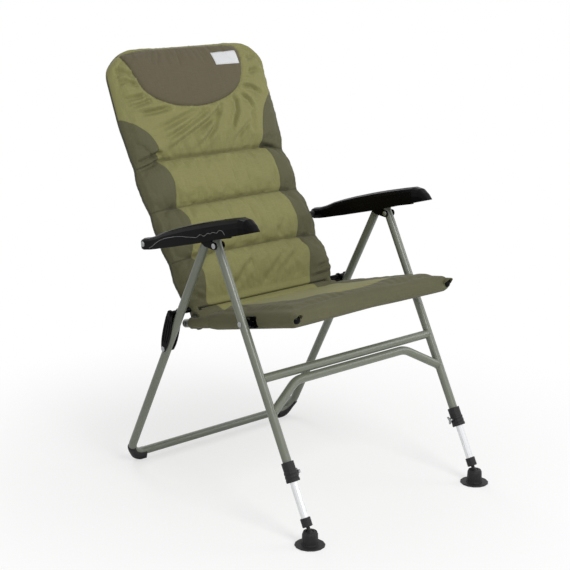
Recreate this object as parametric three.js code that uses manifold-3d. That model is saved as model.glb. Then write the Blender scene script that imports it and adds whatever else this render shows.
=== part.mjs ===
// A folding armchair for sitting on a river bank: a painted tube frame, two leg pairs that cross under
// the armrests, a padded seat and back, ratchet armrests that set the recline, and front legs that
// telescope on swivel feet. Millimetres, the sitter faces -Y, +X is the sitter's left, +Z is up.
import * as THREE from "three";
import { mergeVertices } from "three/addons/utils/BufferGeometryUtils.js";
import Module from "manifold-3d";

// Tube and fastener stock, shared by every frame
const tube_diameter = 22;
const tube_wall = 1.2;
const fit_gap = 0.3;
const shank_diameter = 7.4;
const rivet_head_diameter = 14;
const rivet_head_height = 1.6;
const bolt_diameter = 8;
const cut_overrun = 5;
const weld_distance = 0.001;
const dome_share = 0.45;

// Widths across the chair, between centre lines: the seat lies inside the legs, and the back inside the seat
const leg_track = 592;
const seat_lane = 34;
const back_lane = 26;
const seat_track = leg_track - 2 * seat_lane;
const back_track = seat_track - 2 * back_lane;

// Leg pair, in side view: both centre lines start where they would cross
const crossing_height = 708;
const ball_height = 29.5;
const ball_reach = 357.5;
const rear_bar_height = 20;
const rear_bar_reach = 352.5;
const rear_bend_radius = 46;

// Distances down a leg from the crossing
const front_tube_start = 29.4;
const front_tube_end = 630;
const main_pivot_place = 48;
const seat_pivot_place = 246.5;
const upper_bar_place = 386;
const lower_brace_place = 474;
const rear_tube_start = 49.5;
const link_pivot_place = 389;

// Seat: the side tubes run from a front plug, past the leg pivot, to the back hinge
const seat_slope_degrees = 13.4;
const seat_reach = 252;
const seat_overhang = 153;
const seat_tail = 16;

// Back: the side tubes lean, bend forward a little at the lumbar height, and close over the top
const back_lean_degrees = 33.4;
const back_bend_degrees = 10.4;
const lower_back_length = 402;
const upper_back_length = 327;
const lumbar_bend_radius = 260;
const top_bend_radius = 64;
const back_tail = 14;
const link_stud_place = 34;
const armrest_pivot_place = 228;

// Armrest ratchet: the pin on the leg head, and the pitch of the notches it drops into
const ratchet_pin_reach = 1.5;
const ratchet_pin_height = 692;
const ratchet_pin_diameter = 8;
const notch_pitch = 26;
const notches_above_rest = 0;
const notches_below_rest = 3;
const armrest_tip_reach = 165;
const armrest_tip_height = 725;

// Fineness of round forms, in facets
const tube_facets = 12;
const round_facets = 14;
const small_facets = 10;
const bend_spans = 4;
const collar_facets = 16;

const painted = new THREE.MeshStandardMaterial({ color: 0x7d8474, roughness: 0.42, metalness: 0.35 });
const moulded = new THREE.MeshStandardMaterial({ color: 0x17161a, roughness: 0.28, metalness: 0 });
const matt_black = new THREE.MeshStandardMaterial({ color: 0x26262a, roughness: 0.7, metalness: 0 });
const bare_aluminium = new THREE.MeshStandardMaterial({ color: 0xd9dadc, roughness: 0.3, metalness: 1 });
const zinc = new THREE.MeshStandardMaterial({ color: 0xb9bcbe, roughness: 0.35, metalness: 1 });
const olive_fabric = new THREE.MeshStandardMaterial({ color: 0x8a8a5c, roughness: 0.9, metalness: 0 });
const dark_fabric = new THREE.MeshStandardMaterial({ color: 0x67614a, roughness: 0.95, metalness: 0 });

const wasm = await Module();
wasm.setup();

const degrees = Math.PI / 180;
const tube_radius = tube_diameter / 2;
const bore_radius = tube_radius - tube_wall;
const half_leg_track = leg_track / 2;
const half_seat_track = seat_track / 2;
const half_back_track = back_track / 2;
const hole_radius = shank_diameter / 2 + fit_gap;
const bolt_hole_radius = bolt_diameter / 2 + fit_gap;

// The side view's points are Vector2(y, z)
const crossing = new THREE.Vector2(0, crossing_height);
const ball_point = new THREE.Vector2(-ball_reach, ball_height);
const rear_corner = new THREE.Vector2(rear_bar_reach, rear_bar_height);
const front_down = ball_point.clone().sub(crossing).normalize();
const rear_down = rear_corner.clone().sub(crossing).normalize();
const front_length = ball_point.distanceTo(crossing);
const front_angle = Math.atan2(-front_down.x, -front_down.y);
const rear_angle = Math.atan2(rear_down.x, -rear_down.y);
const downLeg = (direction, distance) => crossing.clone().addScaledVector(direction, distance);
const main_pivot = downLeg(front_down, main_pivot_place);
const seat_pivot = downLeg(front_down, seat_pivot_place);
const link_pivot = downLeg(rear_down, link_pivot_place);
const seat_slope = seat_slope_degrees * degrees;
const seat_back = new THREE.Vector2(Math.cos(seat_slope), -Math.sin(seat_slope));
const hinge_point = seat_pivot.clone().addScaledVector(seat_back, seat_reach);
const back_lean = back_lean_degrees * degrees;
const back_up = new THREE.Vector2(Math.sin(back_lean), Math.cos(back_lean));
const stud_point = hinge_point.clone().addScaledVector(back_up, link_stud_place);
const armrest_pivot = hinge_point.clone().addScaledVector(back_up, armrest_pivot_place);
const ratchet_pin = new THREE.Vector2(-ratchet_pin_reach, ratchet_pin_height);
const armrest_tip = new THREE.Vector2(-armrest_tip_reach, armrest_tip_height);
const armrest_along = armrest_tip.clone().sub(armrest_pivot).normalize();
const armrest_slope = Math.atan2(armrest_along.y, -armrest_along.x);

// A closed geometry as a solid that can be joined and cut
function toSolid(geometry) {
  const bare = geometry.clone();
  bare.deleteAttribute("normal");
  bare.deleteAttribute("uv");
  const merged = mergeVertices(bare, weld_distance);
  const triVerts = new Uint32Array(merged.index.array);
  const vertProperties = merged.attributes.position.array;
  return new wasm.Manifold(new wasm.Mesh({ numProp: 3, vertProperties, triVerts }));
}

// A solid as a geometry that a mesh can hold
function toGeometry(solid) {
  const mesh = solid.getMesh();
  const positions = new Float32Array(mesh.numVert * 3);
  for (let i = 0; i < mesh.numVert; i++) {
    positions.set(mesh.vertProperties.subarray(i * mesh.numProp, i * mesh.numProp + 3), i * 3);
  }
  const geometry = new THREE.BufferGeometry();
  geometry.setAttribute("position", new THREE.BufferAttribute(positions, 3));
  geometry.setIndex(new THREE.BufferAttribute(mesh.triVerts, 1));
  geometry.computeVertexNormals();
  return geometry;
}

function joined(...geometries) {
  return geometries.map(toSolid).reduce((whole, part) => whole.add(part));
}

function cutFrom(solid, ...geometries) {
  return geometries.map(toSolid).reduce((rest, cutter) => rest.subtract(cutter), solid);
}

function piece(name, shape, material, parent) {
  const geometry = shape.isBufferGeometry ? shape : toGeometry(shape);
  const mesh = new THREE.Mesh(geometry, material);
  mesh.name = name;
  parent.add(mesh);
  return mesh;
}

// The radius of a faceted bore whose flats clear a round of the given radius
const boreAround = (radius, facets) => (radius + fit_gap) / Math.cos(Math.PI / facets);

// A side-view outline made into a plate that spans x from low to high
const across = new THREE.Matrix4().set(0, 0, 1, 0, 1, 0, 0, 0, 0, 1, 0, 0, 0, 0, 0, 1);
function plate(outline, low, high, segments = 6) {
  const options = { depth: high - low, bevelEnabled: false, curveSegments: segments };
  const geometry = new THREE.ExtrudeGeometry(outline, options);
  return geometry.translate(0, 0, low).applyMatrix4(across);
}

// A round bar across the chair, at (y, z), that spans x from low to high
function crossBar(radius, low, high, y = 0, z = 0, facets = small_facets) {
  const geometry = new THREE.CylinderGeometry(radius, radius, high - low, facets);
  return geometry.rotateZ(-Math.PI / 2).translate((low + high) / 2, y, z);
}

// Revolved forms: a profile of [radius, height] turned about Z, or of [radius, x] turned about X
function turned(profile, facets = round_facets) {
  const points = profile.map(([radius, height]) => new THREE.Vector2(radius, height));
  return new THREE.LatheGeometry(points, facets).rotateX(Math.PI / 2);
}

function turnedAcross(profile, facets = small_facets) {
  const points = profile.map(([radius, place]) => new THREE.Vector2(radius, place));
  return new THREE.LatheGeometry(points, facets).rotateZ(-Math.PI / 2);
}

// A rivet across the chair: a domed head outside high, a shank, and a closed tail inside low
function rivet(low, high) {
  const head = rivet_head_diameter / 2;
  const shank = shank_diameter / 2;
  const rim = rivet_head_height / 2;
  const crown = head * dome_share;
  const profile = [
    [0, low - rivet_head_height],
    [crown, low - rivet_head_height],
    [head, low - rim],
    [head, low],
    [shank, low],
    [shank, high],
    [head, high],
    [head, high + rim],
    [crown, high + rivet_head_height],
    [0, high + rivet_head_height],
  ];
  return turnedAcross(profile);
}

// A route whose stations are hit one by one, so a tube has one span for each straight
class StationPath extends THREE.Curve {
  constructor(stations) {
    super();
    this.stations = stations;
  }

  getPoint(t, target = new THREE.Vector3()) {
    const spans = this.stations.length - 1;
    const place = Math.min(t * spans, spans);
    const index = Math.min(Math.floor(place), spans - 1);
    return target.lerpVectors(this.stations[index], this.stations[index + 1], place - index);
  }

  getUtoTmapping(u) {
    return u;
  }
}

// The stations of a bent tube: straight runs joined by arcs, one bend radius for each corner
function bentRoute(corners, radii, spans = bend_spans) {
  const stations = [corners[0]];
  for (let i = 1; i < corners.length - 1; i++) {
    const into = corners[i].clone().sub(corners[i - 1]).normalize();
    const out = corners[i + 1].clone().sub(corners[i]).normalize();
    const turn = into.angleTo(out);
    const inward = out.clone().addScaledVector(into, -into.dot(out)).normalize();
    const radius = radii[i - 1];
    const start = corners[i].clone().addScaledVector(into, -radius * Math.tan(turn / 2));
    const centre = start.clone().addScaledVector(inward, radius);
    for (let k = 0; k <= spans; k++) {
      const angle = (turn * k) / spans;
      const station = centre.clone().addScaledVector(inward, -radius * Math.cos(angle));
      stations.push(station.addScaledVector(into, radius * Math.sin(angle)));
    }
  }
  stations.push(corners[corners.length - 1]);
  return stations;
}

function ring(radius, hole = 0) {
  const shape = new THREE.Shape().absarc(0, 0, radius, 0, 2 * Math.PI);
  if (hole > 0) shape.holes.push(new THREE.Path().absarc(0, 0, hole, 0, 2 * Math.PI, true));
  return shape;
}

function tubeAlong(stations, radius, hole = 0, facets = tube_facets) {
  const options = {
    steps: stations.length - 1,
    curveSegments: facets / 2,
    extrudePath: new StationPath(stations),
    bevelEnabled: false,
  };
  return new THREE.ExtrudeGeometry(ring(radius, hole), options);
}

// A straight tube along Z, down from a start to an end distance
function straightTube(start, end, radius, hole, facets = tube_facets) {
  const options = { depth: end - start, curveSegments: facets / 2, bevelEnabled: false };
  return new THREE.ExtrudeGeometry(ring(radius, hole), options).translate(0, 0, -end);
}

// A closed skin over rings of equal count, with a fan of triangles over each end
function loft(rings) {
  const count = rings[0].length;
  const positions = rings.flat().flatMap((point) => [point.x, point.y, point.z]);
  const faces = [];
  for (let j = 0; j < rings.length - 1; j++) {
    for (let i = 0; i < count; i++) {
      const a = j * count + i;
      const b = j * count + ((i + 1) % count);
      faces.push(a, b, b + count, a, b + count, a + count);
    }
  }
  const last = (rings.length - 1) * count;
  for (let i = 1; i < count - 1; i++) {
    faces.push(0, i + 1, i, last, last + i, last + i + 1);
  }
  const geometry = new THREE.BufferGeometry();
  geometry.setAttribute("position", new THREE.Float32BufferAttribute(positions, 3));
  geometry.setIndex(faces);
  return geometry;
}

// A smooth rise from 0 to 1 as a value goes from low to high
function rise(value, low, high) {
  const share = THREE.MathUtils.clamp((value - low) / (high - low), 0, 1);
  return share * share * (3 - 2 * share);
}

const chair = new THREE.Group();
const assembly = new THREE.Group();
chair.add(assembly);

// Each side is drawn once at positive x, and mirrored for the other side of the chair
const sides = [
  { name: "left", sign: 1 },
  { name: "right", sign: -1 },
].map((side) => {
  const group = new THREE.Group();
  group.scale.x = side.sign;
  assembly.add(group);
  return { name: side.name, group };
});

// Groups in a leg's own frame: the origin at the crossing, -Z down the leg, +Y behind it
function legGroup(side, angle) {
  const group = new THREE.Group();
  group.position.set(half_leg_track, 0, crossing_height);
  group.rotation.x = angle;
  side.group.add(group);
  return group;
}

// Layers beside the leg tubes, measured outwards from their centre line
const cheek_inner = tube_radius + 1.4 * fit_gap;
const cheek_thickness = 2.6;
const cheek_outer = cheek_inner + cheek_thickness;
const link_inner = tube_radius + 2 * fit_gap;
const link_wall = 4;
const link_outer = link_inner + link_wall;
const pin_inner_reach = 14.9;
const pin_outer_reach = 15.9;
const block_side = 13.4;

// Front legs: drawn tubes, open at both ends, drilled across for the two pivots
for (const side of sides) {
  const leg = legGroup(side, -front_angle);
  const tube = toSolid(straightTube(front_tube_start, front_tube_end, tube_radius, bore_radius));
  const reach = tube_radius + cut_overrun;
  const drilled = cutFrom(
    tube,
    crossBar(hole_radius, -reach, reach, 0, -main_pivot_place),
    crossBar(hole_radius, -reach, reach, 0, -seat_pivot_place),
  );
  piece(`front_leg_${side.name}`, drilled, painted, leg);
}

// Leg heads: a moulded plug in the front leg's mouth, with an ear above it that holds the ratchet pin
const head_plug_radius = bore_radius * Math.cos(Math.PI / tube_facets) - fit_gap;
const head_plug_depth = 36;
const head_half_width = 10;
const head_ear_radius = 11;
const head_lobe = 5;
const head_lobe_rise = 16;
const from_crossing = ratchet_pin.clone().sub(crossing);
const pin_down = from_crossing.dot(front_down);
const pin_behind = from_crossing.x * -front_down.y + from_crossing.y * front_down.x;
const ratchet_pin_radius = ratchet_pin_diameter / 2;
const pin_chamfer = 1;
for (const side of sides) {
  const leg = legGroup(side, -front_angle);
  const seat = -front_tube_start + fit_gap;
  const ear = new THREE.Shape();
  ear.moveTo(-tube_radius, seat);
  ear.lineTo(tube_radius, seat);
  ear.lineTo(pin_behind + head_ear_radius, -pin_down);
  ear.absarc(pin_behind, -pin_down, head_ear_radius, 0, 0.75 * Math.PI);
  ear.quadraticCurveTo(-tube_radius - head_lobe, seat + head_lobe_rise, -tube_radius, seat);
  const plug = new THREE.CylinderGeometry(
    head_plug_radius,
    head_plug_radius,
    head_plug_depth,
    tube_facets,
  );
  plug.rotateX(Math.PI / 2).translate(0, 0, seat - head_plug_depth / 2 + fit_gap);
  const whole = joined(plate(ear, -head_half_width, head_half_width), plug);
  const reach = tube_radius + cut_overrun;
  const head = cutFrom(
    whole,
    crossBar(ratchet_pin_radius + fit_gap, -reach, reach, pin_behind, -pin_down),
    crossBar(hole_radius, -reach, reach, 0, -main_pivot_place),
  );
  piece(`leg_head_${side.name}`, head, moulded, leg);
  const pin = piece(
    `ratchet_pin_${side.name}`,
    turnedAcross([
      [0, -pin_inner_reach],
      [ratchet_pin_radius - pin_chamfer, -pin_inner_reach],
      [ratchet_pin_radius, -pin_inner_reach + pin_chamfer],
      [ratchet_pin_radius, pin_outer_reach - pin_chamfer],
      [ratchet_pin_radius - pin_chamfer, pin_outer_reach],
      [0, pin_outer_reach],
    ]),
    zinc,
    leg,
  );
  pin.position.set(0, pin_behind, -pin_down);
}

// Rivets held by the front legs: the main leg pivot, and the seat pivot that reaches in to the seat tube
const seat_inset = half_leg_track - half_seat_track;
for (const side of sides) {
  const leg = legGroup(side, -front_angle);
  const main = piece(
    `leg_pivot_rivet_${side.name}`,
    rivet(-cheek_outer - fit_gap, cheek_outer + fit_gap),
    zinc,
    leg,
  );
  main.position.set(0, 0, -main_pivot_place);
  const seat = piece(
    `seat_pivot_rivet_${side.name}`,
    rivet(-seat_inset - block_side - fit_gap, tube_radius + fit_gap),
    zinc,
    leg,
  );
  seat.position.set(0, 0, -seat_pivot_place);
}

// Crossbar and bowed brace that tie the front legs, saddle cut at the ends where they are welded on
const brace_gap = 2;
const brace_rise_run = 104;
const brace_bend_radius = 64;
const saddle = straightTube(front_tube_start, front_tube_end, boreAround(tube_radius, tube_facets));
const leg_saddles = [half_leg_track, -half_leg_track].map((x) => {
  const copy = saddle.clone().rotateX(-front_angle);
  return copy.translate(x, 0, crossing_height);
});
const barPoint = (x, place) => {
  const point = downLeg(front_down, place);
  return new THREE.Vector3(x, point.x, point.y);
};
const upper_route = [barPoint(-half_leg_track, upper_bar_place), barPoint(half_leg_track, upper_bar_place)];
const upper_bar = toSolid(tubeAlong(upper_route, tube_radius, bore_radius));
piece("upper_crossbar", endToEnd(cutFrom(upper_bar, ...leg_saddles)), painted, assembly);
const brace_place = upper_bar_place + tube_diameter + brace_gap;
const brace_in = half_leg_track - brace_rise_run;
const brace_route = bentRoute(
  [
    barPoint(-half_leg_track, lower_brace_place),
    barPoint(-brace_in, brace_place),
    barPoint(brace_in, brace_place),
    barPoint(half_leg_track, lower_brace_place),
  ],
  [brace_bend_radius, brace_bend_radius],
);
const brace = toSolid(tubeAlong(brace_route, tube_radius, bore_radius));
piece("lower_brace", endToEnd(cutFrom(brace, ...leg_saddles)), painted, assembly);

// The largest of the bodies that a cut leaves, so the slivers past a saddle cut fall away
function endToEnd(solid) {
  return solid.decompose().reduce((best, body) => (body.volume() > best.volume() ? body : best));
}

// Collars: a moulded sleeve over each front leg's mouth, ribbed for grip, with a boss for its clamp screw
const collar_start = 591;
const collar_end = 640;
const collar_top_radius = 15.5;
const collar_low_radius = 17.2;
const collar_groove_depth = 0.9;
const collar_groove_count = 3;
const collar_smooth_share = 0.45;
const collar_boss_place = 620;
const collar_boss_radius = 5.5;
const collar_boss_reach = 21;
const screw_radius = 2.4;
const extension_radius = 9.5;
const extension_wall = 1.2;
for (const side of sides) {
  const leg = legGroup(side, -front_angle);
  const over_tube = boreAround(tube_radius, collar_facets);
  const over_extension = boreAround(extension_radius, collar_facets);
  const length = collar_end - collar_start;
  const radiusAt = (share) => THREE.MathUtils.lerp(collar_top_radius, collar_low_radius, share);
  const profile = [
    [over_extension, -collar_end],
    [collar_low_radius - collar_groove_depth, -collar_end],
  ];
  for (let k = 0; k < collar_groove_count; k++) {
    const low = 1 - ((1 - collar_smooth_share) * (k + 0.25)) / collar_groove_count;
    const high = 1 - ((1 - collar_smooth_share) * (k + 0.75)) / collar_groove_count;
    profile.push([radiusAt(low), -collar_start - length * low]);
    profile.push([radiusAt(high), -collar_start - length * high]);
    const next = 1 - ((1 - collar_smooth_share) * (k + 1)) / collar_groove_count;
    profile.push([radiusAt(next) - collar_groove_depth, -collar_start - length * next]);
  }
  profile.push([collar_top_radius, -collar_start - collar_groove_depth]);
  profile.push([collar_top_radius - collar_groove_depth, -collar_start]);
  profile.push([over_tube, -collar_start]);
  profile.push([over_tube, -front_tube_end - fit_gap]);
  profile.push([over_extension, -front_tube_end - fit_gap]);
  profile.push([over_extension, -collar_end]);
  const boss = crossBar(collar_boss_radius, -collar_boss_reach, -over_tube, 0, -collar_boss_place);
  const screw_way = crossBar(
    screw_radius + fit_gap,
    -collar_boss_reach - cut_overrun,
    -extension_radius,
    0,
    -collar_boss_place,
  );
  const bore = straightTube(collar_start, front_tube_end + fit_gap, over_tube, 0, collar_facets);
  const collar = cutFrom(joined(turned(profile, collar_facets), boss), bore, screw_way);
  piece(`leg_collar_${side.name}`, collar, matt_black, leg);
}

// Wing screws: turned in and out of the collar boss on the inner side of each leg
const hub_radius = 4.5;
const hub_length = 6;
const wing_span = 21;
const wing_height = 9;
const wing_thickness = 2;
for (const side of sides) {
  const leg = legGroup(side, -front_angle);
  const hub_start = -collar_boss_reach - fit_gap;
  const shank = crossBar(screw_radius, hub_start - screw_radius, -tube_radius - fit_gap);
  const hub = crossBar(hub_radius, hub_start - hub_length, hub_start);
  const wing = new THREE.Shape();
  wing.moveTo(-hub_radius * dome_share, 0);
  wing.bezierCurveTo(-wing_span / 4, 0, -wing_span / 2, wing_height / 3, -wing_span / 2, wing_height * 0.8);
  wing.quadraticCurveTo(-wing_span / 3, wing_height * 1.2, 0, wing_height / 2);
  wing.quadraticCurveTo(wing_span / 3, wing_height * 1.2, wing_span / 2, wing_height * 0.8);
  wing.bezierCurveTo(wing_span / 2, wing_height / 3, wing_span / 4, 0, hub_radius * dome_share, 0);
  const options = { depth: wing_thickness, bevelEnabled: false, curveSegments: 4 };
  const blade = new THREE.ExtrudeGeometry(wing, options);
  blade.translate(0, 0, -wing_thickness / 2).rotateX(Math.PI / 2).rotateZ(Math.PI / 2).rotateX(-Math.PI / 2);
  blade.translate(hub_start - hub_length + wing_height / 3, 0, 0);
  const screw = piece(`wing_screw_${side.name}`, joined(shank, hub, blade), zinc, leg);
  screw.position.set(0, 0, -collar_boss_place);
}

// Extension legs: bright tubes that slide in the front legs, a knurled end sleeve, and a ball stud
const extension_start = 489;
const extension_end = 747;
const sleeve_start = 728;
const sleeve_end = 750;
const sleeve_radius = 12.5;
const sleeve_chamfer = 1;
const ball_radius = 9.5;
const neck_radius = 4.6;
const stud_plug_depth = 14;
for (const side of sides) {
  const leg = legGroup(side, -front_angle);
  const bore = extension_radius - extension_wall;
  const tube = straightTube(extension_start, extension_end, extension_radius, bore);
  piece(`extension_leg_${side.name}`, tube, bare_aluminium, leg);
  const over = boreAround(extension_radius, round_facets);
  const sleeve = turned([
    [over, -sleeve_end],
    [sleeve_radius - sleeve_chamfer, -sleeve_end],
    [sleeve_radius, -sleeve_end + sleeve_chamfer],
    [sleeve_radius, -sleeve_start - sleeve_chamfer],
    [sleeve_radius - sleeve_chamfer, -sleeve_start],
    [over, -sleeve_start],
    [over, -sleeve_end],
  ]);
  piece(`end_sleeve_${side.name}`, sleeve, matt_black, leg);
  const plug_radius = bore * Math.cos(Math.PI / tube_facets) - fit_gap;
  const stud_profile = [
    [0, -extension_end + stud_plug_depth],
    [plug_radius, -extension_end + stud_plug_depth],
    [plug_radius, -extension_end - fit_gap],
    [extension_radius - fit_gap, -extension_end - fit_gap],
    [extension_radius - fit_gap, -sleeve_end],
    [neck_radius, -sleeve_end],
  ];
  const first = Math.asin(neck_radius / ball_radius);
  const ball_spans = 5;
  for (let k = 0; k <= ball_spans; k++) {
    const angle = first + ((Math.PI - first) * k) / ball_spans;
    const radius = k === ball_spans ? 0 : ball_radius * Math.sin(angle);
    stud_profile.push([radius, -front_length + ball_radius * Math.cos(angle)]);
  }
  piece(`ball_stud_${side.name}`, turned(stud_profile.reverse(), small_facets), matt_black, leg);
}

// Swivel feet: a wide disc under a domed socket whose mouth lets the neck lean
const disc_radius = 37;
const disc_thickness = 3.6;
const disc_edge = 1.2;
const socket_foot_radius = 20;
const socket_waist_radius = 19;
const socket_lip_radius = 16.4;
const socket_top = 36;
const mouth_degrees = 36;
for (const side of sides) {
  const foot = new THREE.Group();
  foot.position.set(half_leg_track, ball_point.x, ball_height);
  side.group.add(foot);
  const outside = turned([
    [0, -ball_height],
    [disc_radius - disc_edge, -ball_height],
    [disc_radius, -ball_height + disc_edge],
    [disc_radius, -ball_height + disc_thickness - disc_edge],
    [disc_radius - disc_edge, -ball_height + disc_thickness],
    [socket_foot_radius + disc_edge, -ball_height + disc_thickness],
    [socket_foot_radius, -ball_height + 2 * disc_thickness],
    [socket_waist_radius, 0],
    [socket_lip_radius, socket_top - ball_height],
    [0, socket_top - ball_height],
  ]);
  const cavity = new THREE.SphereGeometry(ball_radius + 3 * fit_gap, small_facets, 6).rotateX(Math.PI / 2);
  const mouth_height = socket_top - ball_height + cut_overrun;
  const mouth_radius = mouth_height * Math.tan(mouth_degrees * degrees) + neck_radius;
  const mouth = turned([
    [0, 0],
    [neck_radius, 0],
    [mouth_radius, mouth_height],
    [0, mouth_height],
  ]);
  piece(`swivel_foot_${side.name}`, cutFrom(toSolid(outside), cavity, mouth), matt_black, foot);
}

// Rear legs: one tube bent twice into a wide U, drilled for the folding links
const rearPoint = (x, place) => {
  const point = downLeg(rear_down, place);
  return new THREE.Vector3(x, point.x, point.y);
};
const rear_length = rear_corner.distanceTo(crossing);
const rear_route = bentRoute(
  [
    rearPoint(-half_leg_track, rear_tube_start),
    rearPoint(-half_leg_track, rear_length),
    rearPoint(half_leg_track, rear_length),
    rearPoint(half_leg_track, rear_tube_start),
  ],
  [rear_bend_radius, rear_bend_radius],
);
const link_hole = half_leg_track + tube_radius + cut_overrun;
const rear_frame = cutFrom(
  toSolid(tubeAlong(rear_route, tube_radius, bore_radius)),
  crossBar(hole_radius, half_leg_track - tube_radius - cut_overrun, link_hole, link_pivot.x, link_pivot.y),
  crossBar(hole_radius, -link_hole, -half_leg_track + tube_radius + cut_overrun, link_pivot.x, link_pivot.y),
);
piece("rear_leg_frame", rear_frame, painted, assembly);

// Rear knuckles: a plug in each rear leg's mouth, and two cheeks that reach forward round the front leg
const knuckle_eye_radius = 9.5;
const knuckle_shoulder = 11;
const knuckle_bridge_reach = 14;
const knuckle_plug_depth = 26;
const to_main = main_pivot.clone().sub(crossing);
const main_down = to_main.dot(rear_down);
const main_behind = to_main.x * -rear_down.y + to_main.y * rear_down.x;
for (const side of sides) {
  const leg = legGroup(side, rear_angle);
  const seat = -rear_tube_start + fit_gap;
  const shoulder_top = seat + knuckle_shoulder;
  const eye = knuckle_eye_radius;
  const lean = Math.atan2(-main_down - shoulder_top, main_behind);
  const cheek = new THREE.Shape();
  cheek.moveTo(tube_radius, seat);
  cheek.lineTo(tube_radius, shoulder_top);
  cheek.quadraticCurveTo(tube_radius * 0.8, shoulder_top + eye, -tube_radius, shoulder_top + eye);
  cheek.lineTo(main_behind, -main_down + eye);
  cheek.absarc(main_behind, -main_down, eye, Math.PI / 2, 1.35 * Math.PI);
  cheek.lineTo(-tube_radius, seat);
  const bridge = new THREE.Shape();
  bridge.moveTo(tube_radius, seat);
  bridge.lineTo(tube_radius, shoulder_top);
  bridge.quadraticCurveTo(tube_radius * 0.8, shoulder_top + eye, -tube_radius * 0.4, shoulder_top + eye);
  bridge.lineTo(-knuckle_bridge_reach, shoulder_top);
  bridge.lineTo(-tube_radius, seat);
  const plug_length = knuckle_plug_depth + fit_gap;
  const plug = new THREE.CylinderGeometry(head_plug_radius, head_plug_radius, plug_length, tube_facets);
  plug.rotateX(Math.PI / 2).translate(0, 0, seat - plug_length / 2 + fit_gap);
  const whole = joined(
    plate(cheek, cheek_inner, cheek_outer),
    plate(cheek, -cheek_outer, -cheek_inner),
    plate(bridge, -cheek_outer, cheek_outer),
    plug,
  );
  const reach = cheek_outer + cut_overrun;
  const eye_hole = crossBar(hole_radius, -reach, reach, main_behind, -main_down);
  const knuckle = cutFrom(whole, eye_hole);
  piece(`rear_knuckle_${side.name}`, knuckle, moulded, leg);
}

// Rear shoes: moulded cradles under the two bottom corners of the rear U
const shoe_half_width = 15.5;
const shoe_height = 25;
const shoe_edge = 5;
const shoe_inward = 56;
const shoe_outward = 8;
const shoe_start = half_leg_track - shoe_inward;
const shoe_end = half_leg_track + shoe_outward;
for (const side of sides) {
  const outline = new THREE.Shape();
  outline.moveTo(-shoe_half_width + shoe_edge, 0);
  outline.lineTo(shoe_half_width - shoe_edge, 0);
  outline.quadraticCurveTo(shoe_half_width, 0, shoe_half_width, shoe_edge);
  outline.lineTo(shoe_half_width, shoe_height);
  outline.lineTo(-shoe_half_width, shoe_height);
  outline.lineTo(-shoe_half_width, shoe_edge);
  outline.quadraticCurveTo(-shoe_half_width, 0, -shoe_half_width + shoe_edge, 0);
  const block = plate(outline, shoe_start, shoe_end, 3).translate(0, rear_bar_reach, 0);
  const way = tubeAlong(rear_route, boreAround(tube_radius, tube_facets));
  const shoe = endToEnd(cutFrom(toSolid(block), way));
  piece(`rear_shoe_${side.name}`, shoe, matt_black, side.group);
}

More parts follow.
